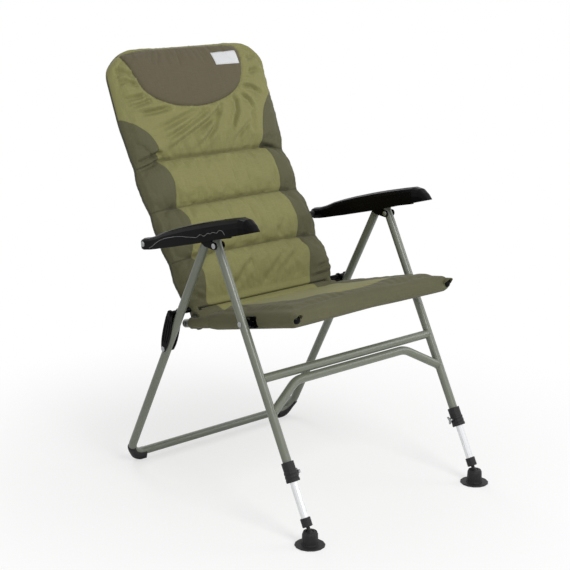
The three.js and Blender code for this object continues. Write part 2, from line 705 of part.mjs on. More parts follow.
// Folding links: ribbed mouldings that straddle the rear legs, pinned low to the leg and high to the back
const link_length = stud_point.distanceTo(link_pivot);
const link_lean = Math.atan2(link_pivot.x - stud_point.x, stud_point.y - link_pivot.y);
const link_low_radius = 8;
const link_top_radius = 10;
const link_half_width = 14.5;
const link_boss_radius = 7;
const link_web = 3.4;
const link_web_start_share = 0.34;
const link_rib_height = 1.2;
const link_rib_width = 2.2;
const link_rib_count = 3;
for (const side of sides) {
  const link = new THREE.Group();
  link.position.set(half_leg_track, link_pivot.x, link_pivot.y);
  link.rotation.x = link_lean;
  side.group.add(link);
  const outline = new THREE.Shape();
  outline.moveTo(-link_low_radius, 0);
  outline.absarc(0, 0, link_low_radius, Math.PI, 2 * Math.PI);
  outline.quadraticCurveTo(link_half_width, link_length * 0.16, link_half_width, link_length * 0.45);
  outline.quadraticCurveTo(link_half_width, link_length * 0.85, link_top_radius, link_length);
  outline.absarc(0, link_length, link_top_radius, 0, Math.PI);
  outline.quadraticCurveTo(-link_half_width, link_length * 0.85, -link_half_width, link_length * 0.45);
  outline.quadraticCurveTo(-link_half_width, link_length * 0.16, -link_low_radius, 0);
  const web_low = link_length * link_web_start_share;
  const web_high = link_length - link_top_radius;
  const web = new THREE.Shape();
  web.moveTo(link_half_width - link_web, web_low);
  web.lineTo(link_half_width, web_low);
  web.lineTo(link_half_width, web_high * 0.8);
  web.lineTo(link_top_radius, web_high + link_boss_radius);
  web.lineTo(link_top_radius - link_web, web_high);
  web.lineTo(link_half_width - link_web, web_high * 0.8);
  const inside_outline = plate(outline, -link_outer, link_outer, 5);
  const webbing = toSolid(plate(web, -link_outer, link_outer)).intersect(toSolid(inside_outline));
  const ribs = [];
  for (let k = 0; k < link_rib_count; k++) {
    const across_place = (k - (link_rib_count - 1) / 2) * 3 * link_rib_width;
    const rib = new THREE.Shape();
    rib.moveTo(across_place - link_rib_width / 2, link_length * 0.2);
    rib.lineTo(across_place + link_rib_width / 2, link_length * 0.2);
    rib.lineTo(across_place * 1.4 + link_rib_width / 2, link_length / 2);
    rib.lineTo(across_place + link_rib_width / 2, link_length * 0.82);
    rib.lineTo(across_place - link_rib_width / 2, link_length * 0.82);
    rib.lineTo(across_place * 1.4 - link_rib_width / 2, link_length / 2);
    ribs.push(plate(rib, link_outer - fit_gap, link_outer + link_rib_height));
  }
  const whole = joined(
    plate(outline, link_inner, link_outer, 5),
    plate(outline, -link_outer, -link_inner, 5),
    crossBar(link_boss_radius, -link_inner - fit_gap, link_inner + fit_gap, 0, link_length),
    ...ribs,
  ).add(webbing);
  const reach = link_outer + cut_overrun;
  const moulding = cutFrom(
    whole,
    crossBar(hole_radius, -reach, reach),
    crossBar(bolt_hole_radius, -reach, reach, 0, link_length),
  );
  piece(`folding_link_${side.name}`, moulding, moulded, link);
  const bolt_head = bolt_diameter * 0.85;
  const bolt = piece(
    `link_bolt_${side.name}`,
    turnedAcross([
      [0, -link_outer],
      [bolt_diameter / 2, -link_outer],
      [bolt_diameter / 2, link_outer + fit_gap],
      [bolt_head, link_outer + fit_gap],
      [bolt_head, link_outer + rivet_head_height],
      [bolt_head * dome_share, link_outer + rivet_head_height + rivet_head_height / 2],
      [0, link_outer + rivet_head_height + rivet_head_height / 2],
    ]),
    moulded,
    link,
  );
  bolt.position.set(0, 0, link_length);
  const rivet_place = new THREE.Group();
  rivet_place.position.set(half_leg_track, link_pivot.x, link_pivot.y);
  side.group.add(rivet_place);
  piece(`link_rivet_${side.name}`, rivet(-link_outer - fit_gap, link_outer + fit_gap), zinc, rivet_place);
}

// The seat's frame: origin at the leg pivot, +Y back along the side tubes, +Z out of the seat
function seatGroup(parent) {
  const group = new THREE.Group();
  group.position.set(0, seat_pivot.x, seat_pivot.y);
  group.rotation.x = -seat_slope;
  parent.add(group);
  return group;
}

const alongY = (x, start, end) => [new THREE.Vector3(x, start, 0), new THREE.Vector3(x, end, 0)];
const plug_rim = 2;
const plug_dome = 6;
const plug_spigot = 12;
for (const side of sides) {
  const seat = seatGroup(side.group);
  const route = alongY(half_seat_track, -seat_overhang, seat_reach + seat_tail);
  const low = half_seat_track - tube_radius - cut_overrun;
  const high = half_seat_track + tube_radius + cut_overrun;
  const tube = cutFrom(
    toSolid(tubeAlong(route, tube_radius, bore_radius)),
    crossBar(hole_radius, low, high),
    crossBar(hole_radius, low, high, seat_reach),
  );
  piece(`seat_tube_${side.name}`, tube, painted, seat);
  const plug = turned([
    [0, -plug_spigot],
    [head_plug_radius, -plug_spigot],
    [head_plug_radius, fit_gap],
    [tube_radius, fit_gap],
    [tube_radius, plug_rim],
    [tube_radius * 0.8, plug_rim + plug_dome * 0.7],
    [tube_radius * dome_share, plug_rim + plug_dome],
    [0, plug_rim + plug_dome],
  ]).rotateX(Math.PI / 2);
  const placed = piece(`seat_tube_plug_${side.name}`, plug, moulded, seat);
  placed.position.set(half_seat_track, -seat_overhang, 0);
}

// Pivot blocks: mouldings clamped round the seat tubes that bear against the front legs
const block_half_length = 26;
const block_top = 13.4;
const block_bottom = 15;
const block_edge = 5;
const block_boss_radius = 12;
for (const side of sides) {
  const seat = seatGroup(side.group);
  const outline = new THREE.Shape();
  outline.moveTo(-block_half_length + block_edge, -block_bottom);
  outline.lineTo(block_half_length - block_edge, -block_bottom);
  outline.quadraticCurveTo(block_half_length, -block_bottom, block_half_length, -block_bottom + block_edge);
  outline.lineTo(block_half_length, block_top - block_edge);
  outline.quadraticCurveTo(block_half_length, block_top, block_half_length - block_edge, block_top);
  outline.lineTo(-block_half_length + block_edge, block_top);
  outline.quadraticCurveTo(-block_half_length, block_top, -block_half_length, block_top - block_edge);
  outline.lineTo(-block_half_length, -block_bottom + block_edge);
  outline.quadraticCurveTo(
    -block_half_length,
    -block_bottom,
    -block_half_length + block_edge,
    -block_bottom,
  );
  const boss_end = half_leg_track - tube_radius - fit_gap;
  const body = plate(outline, half_seat_track - block_side, half_seat_track + block_side, 3);
  const boss = crossBar(block_boss_radius, half_seat_track, boss_end, 0, 0, round_facets);
  const way = alongY(half_seat_track, -block_half_length - cut_overrun, block_half_length + cut_overrun);
  const block = cutFrom(
    joined(body, boss),
    tubeAlong(way, boreAround(tube_radius, tube_facets)),
    crossBar(hole_radius, half_seat_track - block_side - cut_overrun, boss_end + cut_overrun),
  );
  piece(`seat_pivot_block_${side.name}`, block, moulded, seat);
}

// Hinge of seat and back: a rivet through both tubes, and a nylon washer that keeps them apart
const back_outer = half_back_track + tube_radius;
const seat_inner = half_seat_track - tube_radius;
const washer_radius = 11;
for (const side of sides) {
  const seat = seatGroup(side.group);
  const low = half_back_track - tube_radius - fit_gap;
  const pin = piece(`hinge_rivet_${side.name}`, rivet(low, half_seat_track + tube_radius + fit_gap), zinc, seat);
  pin.position.set(0, seat_reach, 0);
  const washer = turnedAcross([
    [hole_radius, back_outer + fit_gap],
    [washer_radius, back_outer + fit_gap],
    [washer_radius, seat_inner - fit_gap],
    [hole_radius, seat_inner - fit_gap],
    [hole_radius, back_outer + fit_gap],
  ]);
  const placed = piece(`hinge_washer_${side.name}`, washer, matt_black, seat);
  placed.position.set(0, seat_reach, 0);
}

// The back's frame: origin at the hinge, +Z up the lower side tubes, +Y behind them
function backGroup(parent) {
  const group = new THREE.Group();
  group.position.set(0, hinge_point.x, hinge_point.y);
  group.rotation.x = -back_lean;
  parent.add(group);
  return group;
}

const back_bend = back_bend_degrees * degrees;
const upper_up = new THREE.Vector2(-Math.sin(back_bend), Math.cos(back_bend));
const top_y = upper_up.x * upper_back_length;
const top_z = lower_back_length + upper_up.y * upper_back_length;
const back_radii = [lumbar_bend_radius, top_bend_radius, top_bend_radius, lumbar_bend_radius];
const back_route = bentRoute(
  [
    new THREE.Vector3(-half_back_track, 0, -back_tail),
    new THREE.Vector3(-half_back_track, 0, lower_back_length),
    new THREE.Vector3(-half_back_track, top_y, top_z),
    new THREE.Vector3(half_back_track, top_y, top_z),
    new THREE.Vector3(half_back_track, 0, lower_back_length),
    new THREE.Vector3(half_back_track, 0, -back_tail),
  ],
  back_radii,
);
const back = backGroup(assembly);
const back_holes = [];
for (const x of [-half_back_track, half_back_track]) {
  const low = x - tube_radius - cut_overrun;
  const high = x + tube_radius + cut_overrun;
  back_holes.push(crossBar(hole_radius, low, high));
  back_holes.push(crossBar(bolt_hole_radius, low, high, 0, link_stud_place));
  back_holes.push(crossBar(bolt_hole_radius, low, high, 0, armrest_pivot_place));
}
const back_tube = toSolid(tubeAlong(back_route, tube_radius, bore_radius));
piece("back_frame", cutFrom(back_tube, ...back_holes), painted, back);

// Fittings on the back tubes: end plugs, the link studs, and the armrest bolts with their free bushes
const stud_collar_radius = 7;
const stud_head_radius = 6.5;
const bush_radius = 7.5;
const armrest_boss_half_width = 13.5;
const armrest_offset = 2;
for (const side of sides) {
  const fittings = backGroup(side.group);
  const inner = half_back_track - tube_radius - fit_gap;
  const plug = turned([
    [0, -plug_rim - plug_dome],
    [tube_radius * dome_share, -plug_rim - plug_dome],
    [tube_radius * 0.8, -plug_rim - plug_dome * 0.7],
    [tube_radius, -plug_rim],
    [tube_radius, -fit_gap],
    [head_plug_radius, -fit_gap],
    [head_plug_radius, plug_spigot / 2],
    [0, plug_spigot / 2],
  ]);
  const plugged = piece(`back_tube_plug_${side.name}`, plug, moulded, fittings);
  plugged.position.set(half_back_track, 0, -back_tail);
  const link_face = half_leg_track - link_outer - fit_gap;
  const stud = turnedAcross([
    [0, inner - rivet_head_height],
    [stud_head_radius, inner - rivet_head_height],
    [stud_head_radius, inner],
    [bolt_diameter / 2, inner],
    [bolt_diameter / 2, back_outer + fit_gap],
    [stud_collar_radius, back_outer + fit_gap],
    [stud_collar_radius, link_face],
    [0, link_face],
  ]);
  piece(`link_stud_${side.name}`, stud, moulded, fittings).position.z = link_stud_place;
  const boss_low = half_leg_track + armrest_offset - armrest_boss_half_width;
  const boss_high = half_leg_track + armrest_offset + armrest_boss_half_width;
  const bolt = turnedAcross([
    [0, inner - rivet_head_height],
    [stud_head_radius, inner - rivet_head_height],
    [stud_head_radius, inner],
    [bolt_diameter / 2, inner],
    [bolt_diameter / 2, boss_high + fit_gap],
    [rivet_head_diameter / 2, boss_high + fit_gap],
    [rivet_head_diameter / 2, boss_high + rivet_head_height / 2],
    [rivet_head_diameter * dome_share * 0.5, boss_high + rivet_head_height + fit_gap],
    [0, boss_high + rivet_head_height + fit_gap],
  ]);
  piece(`armrest_bolt_${side.name}`, bolt, zinc, fittings).position.z = armrest_pivot_place;
  const bush = turnedAcross([
    [bolt_hole_radius, back_outer + fit_gap],
    [bush_radius, back_outer + fit_gap],
    [bush_radius, boss_low - fit_gap],
    [bolt_hole_radius, boss_low - fit_gap],
    [bolt_hole_radius, back_outer + fit_gap],
  ]);
  piece(`armrest_bush_${side.name}`, bush, matt_black, fittings).position.z = armrest_pivot_place;
}

// Armrest shell: an arched channel, narrow at the rear boss and wide at the grip, open underneath.
// Its sections are [share of length, share of half width, top, bottom], from the boss to the nose.
const armrest_length = armrest_tip.distanceTo(armrest_pivot);
const armrest_height = 38;
const armrest_half_width = 21.5;
const armrest_wall = 2.6;
const boss_share = armrest_boss_half_width / armrest_half_width;
const arm_sections = [
  [-0.037, boss_share * 0.5, 0.18, -0.06],
  [-0.024, boss_share * 0.9, 0.33, -0.28],
  [0, boss_share, 0.4, -0.38],
  [0.06, boss_share, 0.38, -0.42],
  [0.12, boss_share * 1.04, 0.46, -0.42],
  [0.19, 0.72, 0.62, -0.4],
  [0.29, 0.8, 0.75, -0.39],
  [0.41, 0.89, 0.86, -0.35],
  [0.56, 0.98, 0.95, -0.31],
  [0.7, 1, 0.985, -0.22],
  [0.82, 1, 0.99, -0.15],
  [0.9, 0.98, 0.97, -0.11],
  [0.945, 0.9, 0.8, -0.085],
  [0.975, 0.74, 0.45, -0.07],
  [1, 0.45, 0.06, -0.055],
];
const channel_first = 4;
const channel_last = 12;
const shoulder_share = 0.42;
const arch_spans = 7;
function armrestRing(place, half, top, bottom) {
  const shoulder = bottom + (top - bottom) * shoulder_share;
  const points = [new THREE.Vector3(armrest_offset + half, -place, bottom)];
  for (let k = 0; k <= arch_spans; k++) {
    const angle = (Math.PI * k) / arch_spans;
    const flat = Math.sign(Math.cos(angle)) * Math.abs(Math.cos(angle)) ** 0.7;
    const high = Math.sin(angle) ** 0.8;
    const x = armrest_offset + half * flat;
    points.push(new THREE.Vector3(x, -place, shoulder + (top - shoulder) * high));
  }
  points.push(new THREE.Vector3(armrest_offset - half, -place, bottom));
  return points;
}
const arm_rings = arm_sections.map(([along, half, top, bottom]) =>
  armrestRing(
    armrest_length * along,
    armrest_half_width * half,
    armrest_height * top,
    armrest_height * bottom,
  ),
);
const channel_rings = arm_sections
  .slice(channel_first, channel_last + 1)
  .map(([along, half, top, bottom], index, all) => {
    const inset = index === 0 ? armrest_wall : index === all.length - 1 ? -armrest_wall : 0;
    return armrestRing(
      armrest_length * along + inset,
      armrest_half_width * half - armrest_wall,
      armrest_height * top - armrest_wall,
      armrest_height * bottom - cut_overrun,
    );
  });

// Ratchet rack inside the outer wall: a lane for the pin, with notches above it at an even pitch
const pin_from_pivot = ratchet_pin.clone().sub(armrest_pivot);
const pin_along = pin_from_pivot.dot(armrest_along);
const pin_above = pin_from_pivot.x * armrest_along.y - pin_from_pivot.y * armrest_along.x;
const rack_inner = pin_outer_reach + fit_gap;
const rack_outer = armrest_offset + armrest_half_width - armrest_wall / 2;
const rack_rail = 3;
const rack_end = 7;
const rack_crest = 16;
const notch_depth = 7.5;
const notch_radius = ratchet_pin_radius + 2 * fit_gap;
function rackPlate() {
  const first = pin_along - notches_above_rest * notch_pitch - notch_radius;
  const last = pin_along + notches_below_rest * notch_pitch + notch_radius;
  const lane_top = pin_above - notch_depth + notch_radius;
  const lane_bottom = pin_above - notch_depth - notch_radius;
  const body = new THREE.Shape();
  body.moveTo(-first + rack_end, lane_bottom - rack_rail);
  body.lineTo(-first + rack_end, pin_above + rack_crest);
  body.lineTo(-last - rack_end, pin_above + rack_crest);
  body.lineTo(-last - rack_end, lane_bottom - rack_rail);
  const lane = new THREE.Shape();
  lane.moveTo(-first, lane_bottom);
  lane.lineTo(-first, lane_top);
  for (let k = -notches_above_rest; k <= notches_below_rest; k++) {
    const centre = -pin_along - k * notch_pitch;
    lane.lineTo(centre + notch_radius, lane_top);
    lane.absarc(centre, pin_above, notch_radius, 0, Math.PI);
    lane.lineTo(centre - notch_radius, lane_top);
  }
  lane.lineTo(-last, lane_bottom);
  const through = plate(lane, rack_inner - cut_overrun, rack_outer + cut_overrun, 3);
  return cutFrom(toSolid(plate(body, rack_inner, rack_outer)), through);
}

// Raised wave along the outer side, as [share of length, share of height]
const wave_rise = 1;
const wave_half_width = 1.6;
const wave_places = [
  [0.1, -0.16],
  [0.2, 0.21],
  [0.275, 0.26],
  [0.43, 0.16],
  [0.51, 0.03],
  [0.575, 0.23],
  [0.635, 0.29],
  [0.68, 0.17],
  [0.73, 0.35],
  [0.775, 0.2],
];
const halfWidthAt = (share) => {
  const index = arm_sections.findIndex(([place]) => place >= share);
  const [low, low_half] = arm_sections[index - 1];
  const [high, high_half] = arm_sections[index];
  return armrest_half_width * THREE.MathUtils.lerp(low_half, high_half, (share - low) / (high - low));
};
const wave_rings = wave_places.map(([along, up], index) => {
  const before = wave_places[Math.max(index - 1, 0)];
  const after = wave_places[Math.min(index + 1, wave_places.length - 1)];
  const run = new THREE.Vector2(
    (after[0] - before[0]) * armrest_length,
    (after[1] - before[1]) * armrest_height,
  ).normalize();
  const face = armrest_offset + halfWidthAt(along);
  return [
    [face - armrest_wall / 2, 1],
    [face - armrest_wall / 2, -1],
    [face + wave_rise, -0.4],
    [face + wave_rise, 0.4],
  ].map(([x, turn]) => {
    const y = -along * armrest_length + turn * wave_half_width * run.y;
    return new THREE.Vector3(x, y, up * armrest_height + turn * wave_half_width * run.x);
  });
});
for (const side of sides) {
  const arm = new THREE.Group();
  arm.position.set(half_leg_track, armrest_pivot.x, armrest_pivot.y);
  arm.rotation.x = -armrest_slope;
  side.group.add(arm);
  const shell = cutFrom(toSolid(loft(arm_rings)), loft(channel_rings));
  const whole = shell.add(rackPlate()).add(toSolid(loft(wave_rings)));
  const low = armrest_offset - armrest_half_width;
  const high = armrest_offset + armrest_half_width;
  piece(`armrest_${side.name}`, cutFrom(whole, crossBar(bolt_hole_radius, low, high)), moulded, arm);
}

// Upholstery. Each pad is a skin over rings: rounded edges sleeved on the tubes, a crown between
// them, and sewn channels across it. Round ways are cut in the pads for the tubes and fittings.
const pad_edge = 14.5;
const sleeve_clearance = 0.5;
const edge_spans = 3;
const crown_places = [-0.8, -0.55, -0.28, 0, 0.28, 0.55, 0.8];
const rear_places = [0.6, 0, -0.6];

// One ring's points as [across, out of the pad], from the right edge over the front, and back behind
function padRing(half, reach, front, rear, crownAt, rearAt) {
  const points = [];
  const inner = half - reach;
  for (let k = 0; k <= edge_spans; k++) {
    const angle = (Math.PI / 2) * (k / edge_spans);
    points.push([-inner - reach * Math.cos(angle), front * Math.sin(angle)]);
  }
  for (const place of crown_places) points.push([place * inner, front + crownAt(place)]);
  for (let k = edge_spans; k >= 0; k--) {
    const angle = (Math.PI / 2) * (k / edge_spans);
    points.push([inner + reach * Math.cos(angle), front * Math.sin(angle)]);
  }
  for (let k = 1; k <= edge_spans; k++) {
    const angle = (Math.PI / 2) * (k / edge_spans);
    points.push([inner + reach * Math.cos(angle), -rear * Math.sin(angle)]);
  }
  for (const place of rear_places) points.push([place * inner, -rear + rearAt(place)]);
  for (let k = edge_spans; k >= 1; k--) {
    const angle = (Math.PI / 2) * (k / edge_spans);
    points.push([-inner - reach * Math.cos(angle), -rear * Math.sin(angle)]);
  }
  return points;
}

// Back pad: heights above the tube line, and the places of its three channels up from the hinge
const back_pad_start = 48;
const back_pad_overhang = 21;
const back_pad_half_width = half_back_track + back_pad_overhang;
const back_pad_low_half_width = half_back_track + pad_edge;
const back_pad_crown = 16;
const lumbar_crown = 9;
const channel_places = [165, 306, 441];
const channel_depth = 13;
const channel_half_width = 15;
const back_taper_end = 125;
const back_length = lower_back_length + upper_back_length;
const back_pad_end = back_length + pad_edge;
const back_pad_grip = 0.35;
const corner_radius = top_bend_radius + pad_edge;
const bell = (distance, half) => Math.max(0, 1 - Math.abs(distance) / half) ** 1.6;
const channelAt = (place) =>
  channel_places.reduce((most, seam) => Math.max(most, bell(place - seam, channel_half_width)), 0);
function backHalfWidth(place) {
  const widened = rise(place, back_pad_start, back_taper_end);
  const full = THREE.MathUtils.lerp(back_pad_low_half_width, back_pad_half_width, widened);
  const over = Math.max(0, place - (back_length - top_bend_radius));
  return full - corner_radius + Math.sqrt(Math.max(0, corner_radius ** 2 - over ** 2));
}
function backCrown(place, across) {
  const low = rise(place, back_pad_start, back_taper_end);
  const lumbar = lumbar_crown * (1 - rise(place, channel_places[0], channel_places[1]));
  const end = 1 - rise(place, back_length - corner_radius, back_pad_end) * 0.75;
  const crown = (back_pad_crown + lumbar) * low * end;
  const round = 1 - Math.abs(across) ** 2.4;
  return crown * round - channelAt(place) * channel_depth * low * (1 - Math.abs(across) ** 6);
}
const endRound = (place) => {
  const over = Math.max(0, place - back_length) / pad_edge;
  return Math.sqrt(Math.max(0.06, 1 - over ** 2));
};
const onBack = (place, out) => {
  const bend = back_bend * rise(place, lower_back_length - 24, lower_back_length + 24);
  const beyond = Math.max(0, place - lower_back_length);
  const z = place - beyond + beyond * Math.cos(back_bend) - out * Math.sin(bend);
  return { y: -beyond * Math.sin(back_bend) - out * Math.cos(bend), z };
};
const back_places = [back_pad_start];
for (const seam of channel_places) {
  const before = back_places[back_places.length - 1];
  const start = seam - channel_half_width;
  for (const share of [0.33, 0.67]) back_places.push(THREE.MathUtils.lerp(before, start, share));
  for (const step of [-1, -0.4, 0, 0.4, 1]) back_places.push(seam + step * channel_half_width);
}
const upper_start = channel_places[2] + channel_half_width;
const corner_start = back_length - corner_radius;
for (const share of [0.2, 0.45, 0.7, 1]) back_places.push(THREE.MathUtils.lerp(upper_start, corner_start, share));
for (const share of [0.4, 0.65, 0.82, 0.92, 0.975, 1]) {
  back_places.push(THREE.MathUtils.lerp(corner_start, back_pad_end, share));
}
const back_pad_rings = back_places.map((place) => {
  const thick = pad_edge * endRound(place);
  const front = Math.min(thick, place * back_pad_grip);
  const tuck = channelAt(place) * channel_depth * 0.3;
  const crown = (share) => backCrown(place, share) * endRound(place);
  const rearAt = (share) => tuck * (1 - Math.abs(share));
  return padRing(backHalfWidth(place), pad_edge, front, thick, crown, rearAt).map(([x, out]) => {
    const { y, z } = onBack(place, out);
    return new THREE.Vector3(x, y, z);
  });
});
const sleeve_way_radius = (tube_radius + sleeve_clearance) / Math.cos(Math.PI / small_facets);
const back_way_route = bentRoute(
  [
    new THREE.Vector3(-half_back_track, 0, -cut_overrun),
    new THREE.Vector3(-half_back_track, 0, lower_back_length),
    new THREE.Vector3(-half_back_track, top_y, top_z),
    new THREE.Vector3(half_back_track, top_y, top_z),
    new THREE.Vector3(half_back_track, 0, lower_back_length),
    new THREE.Vector3(half_back_track, 0, -cut_overrun),
  ],
  back_radii,
);
const bolt_way_radius = 9;
const bolt_way_low = half_back_track - tube_radius - 2 * cut_overrun;
const bolt_ways = [
  crossBar(bolt_way_radius, bolt_way_low, back_pad_half_width + cut_overrun, 0, armrest_pivot_place),
  crossBar(bolt_way_radius, -back_pad_half_width - cut_overrun, -bolt_way_low, 0, armrest_pivot_place),
];
const back_pad = cutFrom(toSolid(loft(back_pad_rings)), tubeAlong(back_way_route, sleeve_way_radius, 0, small_facets), ...bolt_ways);
piece("back_cushion", back_pad, olive_fabric, back);

// Headrest pillow: a D laid on the back pad, its straight side along the top edge
const pillow_inset = 22;
const pillow_half_width = half_back_track - pillow_inset;
const pillow_top = back_length + 4;
const pillow_drop = 152;
const pillow_height = 12;
const pillow_edge = 6;
const pillow_gap = 1.2;
const pillow_columns = [1, 0.985, 0.94, 0.86, 0.7, 0.48, 0.24, 0, -0.24, -0.48, -0.7, -0.86, -0.94, -0.985, -1];
const pillow_rows = [0, 0.04, 0.12, 0.26, 0.45, 0.65, 0.83, 0.94, 1];
const pillow_rear_rows = [0.85, 0.68, 0.5, 0.34, 0.16];
const pillow_end_share = 0.3;
function padFront(x, place) {
  const half = backHalfWidth(place) - pad_edge;
  const share = THREE.MathUtils.clamp(x / half, -1, 1);
  return Math.min(pad_edge * endRound(place), place * back_pad_grip) + backCrown(place, share) * endRound(place);
}
const pillow_rings = pillow_columns.map((share) => {
  const x = share * pillow_half_width;
  const round = Math.sqrt(Math.max(0, 1 - Math.abs(share) ** 3.2));
  const drop = pillow_drop * (pillow_end_share + (1 - pillow_end_share) * round);
  const low = pillow_top - drop;
  const swell = Math.sqrt(Math.max(0, 1 - Math.abs(share) ** 6));
  const point = (row, out) => {
    const place = THREE.MathUtils.lerp(low, pillow_top, row);
    const { y, z } = onBack(place, padFront(x, place) + pillow_gap + out);
    return new THREE.Vector3(x, y, z);
  };
  const front = pillow_rows.map((row) => {
    const bow = Math.sqrt(Math.max(0, 1 - Math.abs(2 * row - 1) ** 3));
    return point(row, pillow_edge + (pillow_height - pillow_edge) * bow * swell);
  });
  const rear = [1, ...pillow_rear_rows, 0].map((row) => point(row, 0));
  return [...front, ...rear];
});
piece("headrest_pillow", loft(pillow_rings), dark_fabric, back);

// Seat pad: a tall front band, a crowned top, and a thin rear edge that clears the folded back
const seat_pad_front = -157;
const seat_hinge_clearance = 30;
const seat_pad_rear = seat_reach - seat_hinge_clearance;
const seat_sleeve_reach = 14;
const seat_pad_half_width = half_seat_track + seat_sleeve_reach;
const seat_pad_top = 21;
const seat_pad_bottom = 20;
const seat_pad_crown = 17;
const seat_front_round = 16;
const seat_rear_run = 54;
const seat_rear_start = seat_pad_rear - seat_rear_run;
const seat_thinning_run = 60;
const seat_rear_inset = 15;
const seat_rear_half_width = half_back_track - seat_rear_inset;
const seat_seam_place = -104;
const seat_seam_depth = 4;
const seat_seam_half_width = 9;
const seat_pad_grip = 0.32;
const seat_places = [0, 0.03, 0.09, 0.2, 0.34].map((share) =>
  THREE.MathUtils.lerp(seat_pad_front, seat_seam_place, share * 2),
);
for (const step of [-1, -0.4, 0, 0.4, 1]) seat_places.push(seat_seam_place + step * seat_seam_half_width);
for (const share of [0.2, 0.4, 0.6, 0.8, 1]) {
  seat_places.push(THREE.MathUtils.lerp(seat_seam_place + seat_seam_half_width, seat_rear_start, share));
}
for (const share of [0.2, 0.4, 0.7, 1]) {
  seat_places.push(THREE.MathUtils.lerp(seat_rear_start, seat_pad_rear, share));
}
const seat_pad_rings = seat_places.map((place) => {
  const from_front = place - seat_pad_front;
  const round = Math.sqrt(THREE.MathUtils.clamp(1 - (1 - from_front / seat_front_round) ** 2, 0.5, 1));
  const nose = from_front < seat_front_round ? round : 1;
  const limit = (seat_reach - place) * seat_pad_grip;
  const narrowing = rise(place, seat_rear_start, seat_rear_start + 2 * seat_sleeve_reach);
  const half = THREE.MathUtils.lerp(seat_pad_half_width, seat_rear_half_width, narrowing);
  const top = Math.min(seat_pad_top * nose, limit);
  const bottom = seat_pad_bottom * nose * (1 - 0.6 * rise(place, seat_rear_start - seat_thinning_run, seat_pad_rear));
  const crown_height = Math.min(seat_pad_crown * rise(place, seat_pad_front - 30, seat_seam_place), limit - top);
  const seam = seat_seam_depth * bell(place - seat_seam_place, seat_seam_half_width);
  const crown = (share) => crown_height * (1 - Math.abs(share) ** 2.6) - seam * (1 - Math.abs(share) ** 8);
  const under = (share) => 3 * (1 - Math.abs(share)) * nose;
  return padRing(half, seat_sleeve_reach, top, bottom, crown, under).map(
    ([x, out]) => new THREE.Vector3(x, place, out),
  );
});
const seat_ways = [];
for (const sign of [-1, 1]) {
  const start = seat_pad_front - cut_overrun;
  const x = sign * half_seat_track;
  seat_ways.push(tubeAlong(alongY(x, start, seat_pad_rear + cut_overrun), sleeve_way_radius, 0, small_facets));
  const block_way = new THREE.BoxGeometry(
    2 * (block_side + 2 * rivet_head_height),
    2 * (block_half_length + 2 * fit_gap),
    block_top + block_bottom + cut_overrun,
  );
  const way_height = block_top + 2 * fit_gap - (block_top + block_bottom + cut_overrun) / 2;
  seat_ways.push(block_way.translate(x, 0, way_height));
}
const seat_pad = cutFrom(toSolid(loft(seat_pad_rings)), ...seat_ways);
piece("seat_cushion", seat_pad, olive_fabric, seatGroup(assembly));

// Hinge fold: the strip of padding that joins the two pads, bent round the hinge line on the sitter's side.
// It turns between them, so it stays inside the seat pad's rear edge and clear of the back pad's end.
const fold_outer_radius = seat_reach - seat_pad_rear - fit_gap;
const fold_inner_radius = 15;
const fold_first_degrees = 76;
const fold_last_degrees = 172;
const fold_end_gap = 4;
const fold_spans = 5;
const fold_half_width = half_back_track - tube_radius - fold_end_gap;
const foldRing = (x) => {
  const ring = [];
  const point = (radius, share) => {
    const angle = THREE.MathUtils.lerp(fold_first_degrees, fold_last_degrees, share) * degrees;
    ring.push(new THREE.Vector3(x, seat_reach + radius * Math.cos(angle), radius * Math.sin(angle)));
  };
  for (let k = 0; k <= fold_spans; k++) point(fold_outer_radius, k / fold_spans);
  for (let k = fold_spans; k >= 0; k--) point(fold_inner_radius, k / fold_spans);
  return ring;
};
piece("hinge_fold", loft([foldRing(-fold_half_width), foldRing(fold_half_width)]), olive_fabric, seatGroup(assembly));

// The origin is on the ground, midway between the foremost and rearmost points
const bounds = new THREE.Box3().setFromObject(chair, true);
assembly.position.y = -(bounds.min.y + bounds.max.y) / 2;

export default chair;
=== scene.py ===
from math import atan2, copysign, cos, degrees, exp, pi, radians, sin, sqrt, tan

import bpy
import numpy as np
from mathutils import Matrix, Vector
from mathutils.bvhtree import BVHTree
from mathutils.noise import noise


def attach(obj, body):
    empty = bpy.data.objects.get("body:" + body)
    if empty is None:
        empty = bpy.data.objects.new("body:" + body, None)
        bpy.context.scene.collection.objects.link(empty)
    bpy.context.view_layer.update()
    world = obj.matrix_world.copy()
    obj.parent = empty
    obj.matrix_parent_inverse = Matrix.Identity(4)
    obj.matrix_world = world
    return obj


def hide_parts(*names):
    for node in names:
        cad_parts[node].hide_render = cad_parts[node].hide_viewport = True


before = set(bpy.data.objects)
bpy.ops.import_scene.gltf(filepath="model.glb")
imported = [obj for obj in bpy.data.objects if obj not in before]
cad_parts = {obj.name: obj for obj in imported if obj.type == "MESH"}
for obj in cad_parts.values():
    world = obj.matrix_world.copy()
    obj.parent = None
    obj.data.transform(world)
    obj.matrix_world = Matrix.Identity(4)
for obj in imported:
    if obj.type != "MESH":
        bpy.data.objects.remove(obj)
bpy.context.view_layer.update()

scene = bpy.context.scene


# Camera: stands in front of the chair on the sitter's right, a little above the seat back's
# middle, at the photograph's distance, so the frame's perspective matches.
def put(thing, **settings):
    """Gives a thing its settings."""
    for name, value in settings.items():
        setattr(thing, name, value)
    return thing


def placed(name, data):
    """A new object in the scene."""
    made = bpy.data.objects.new(name, data)
    scene.collection.objects.link(made)
    return made


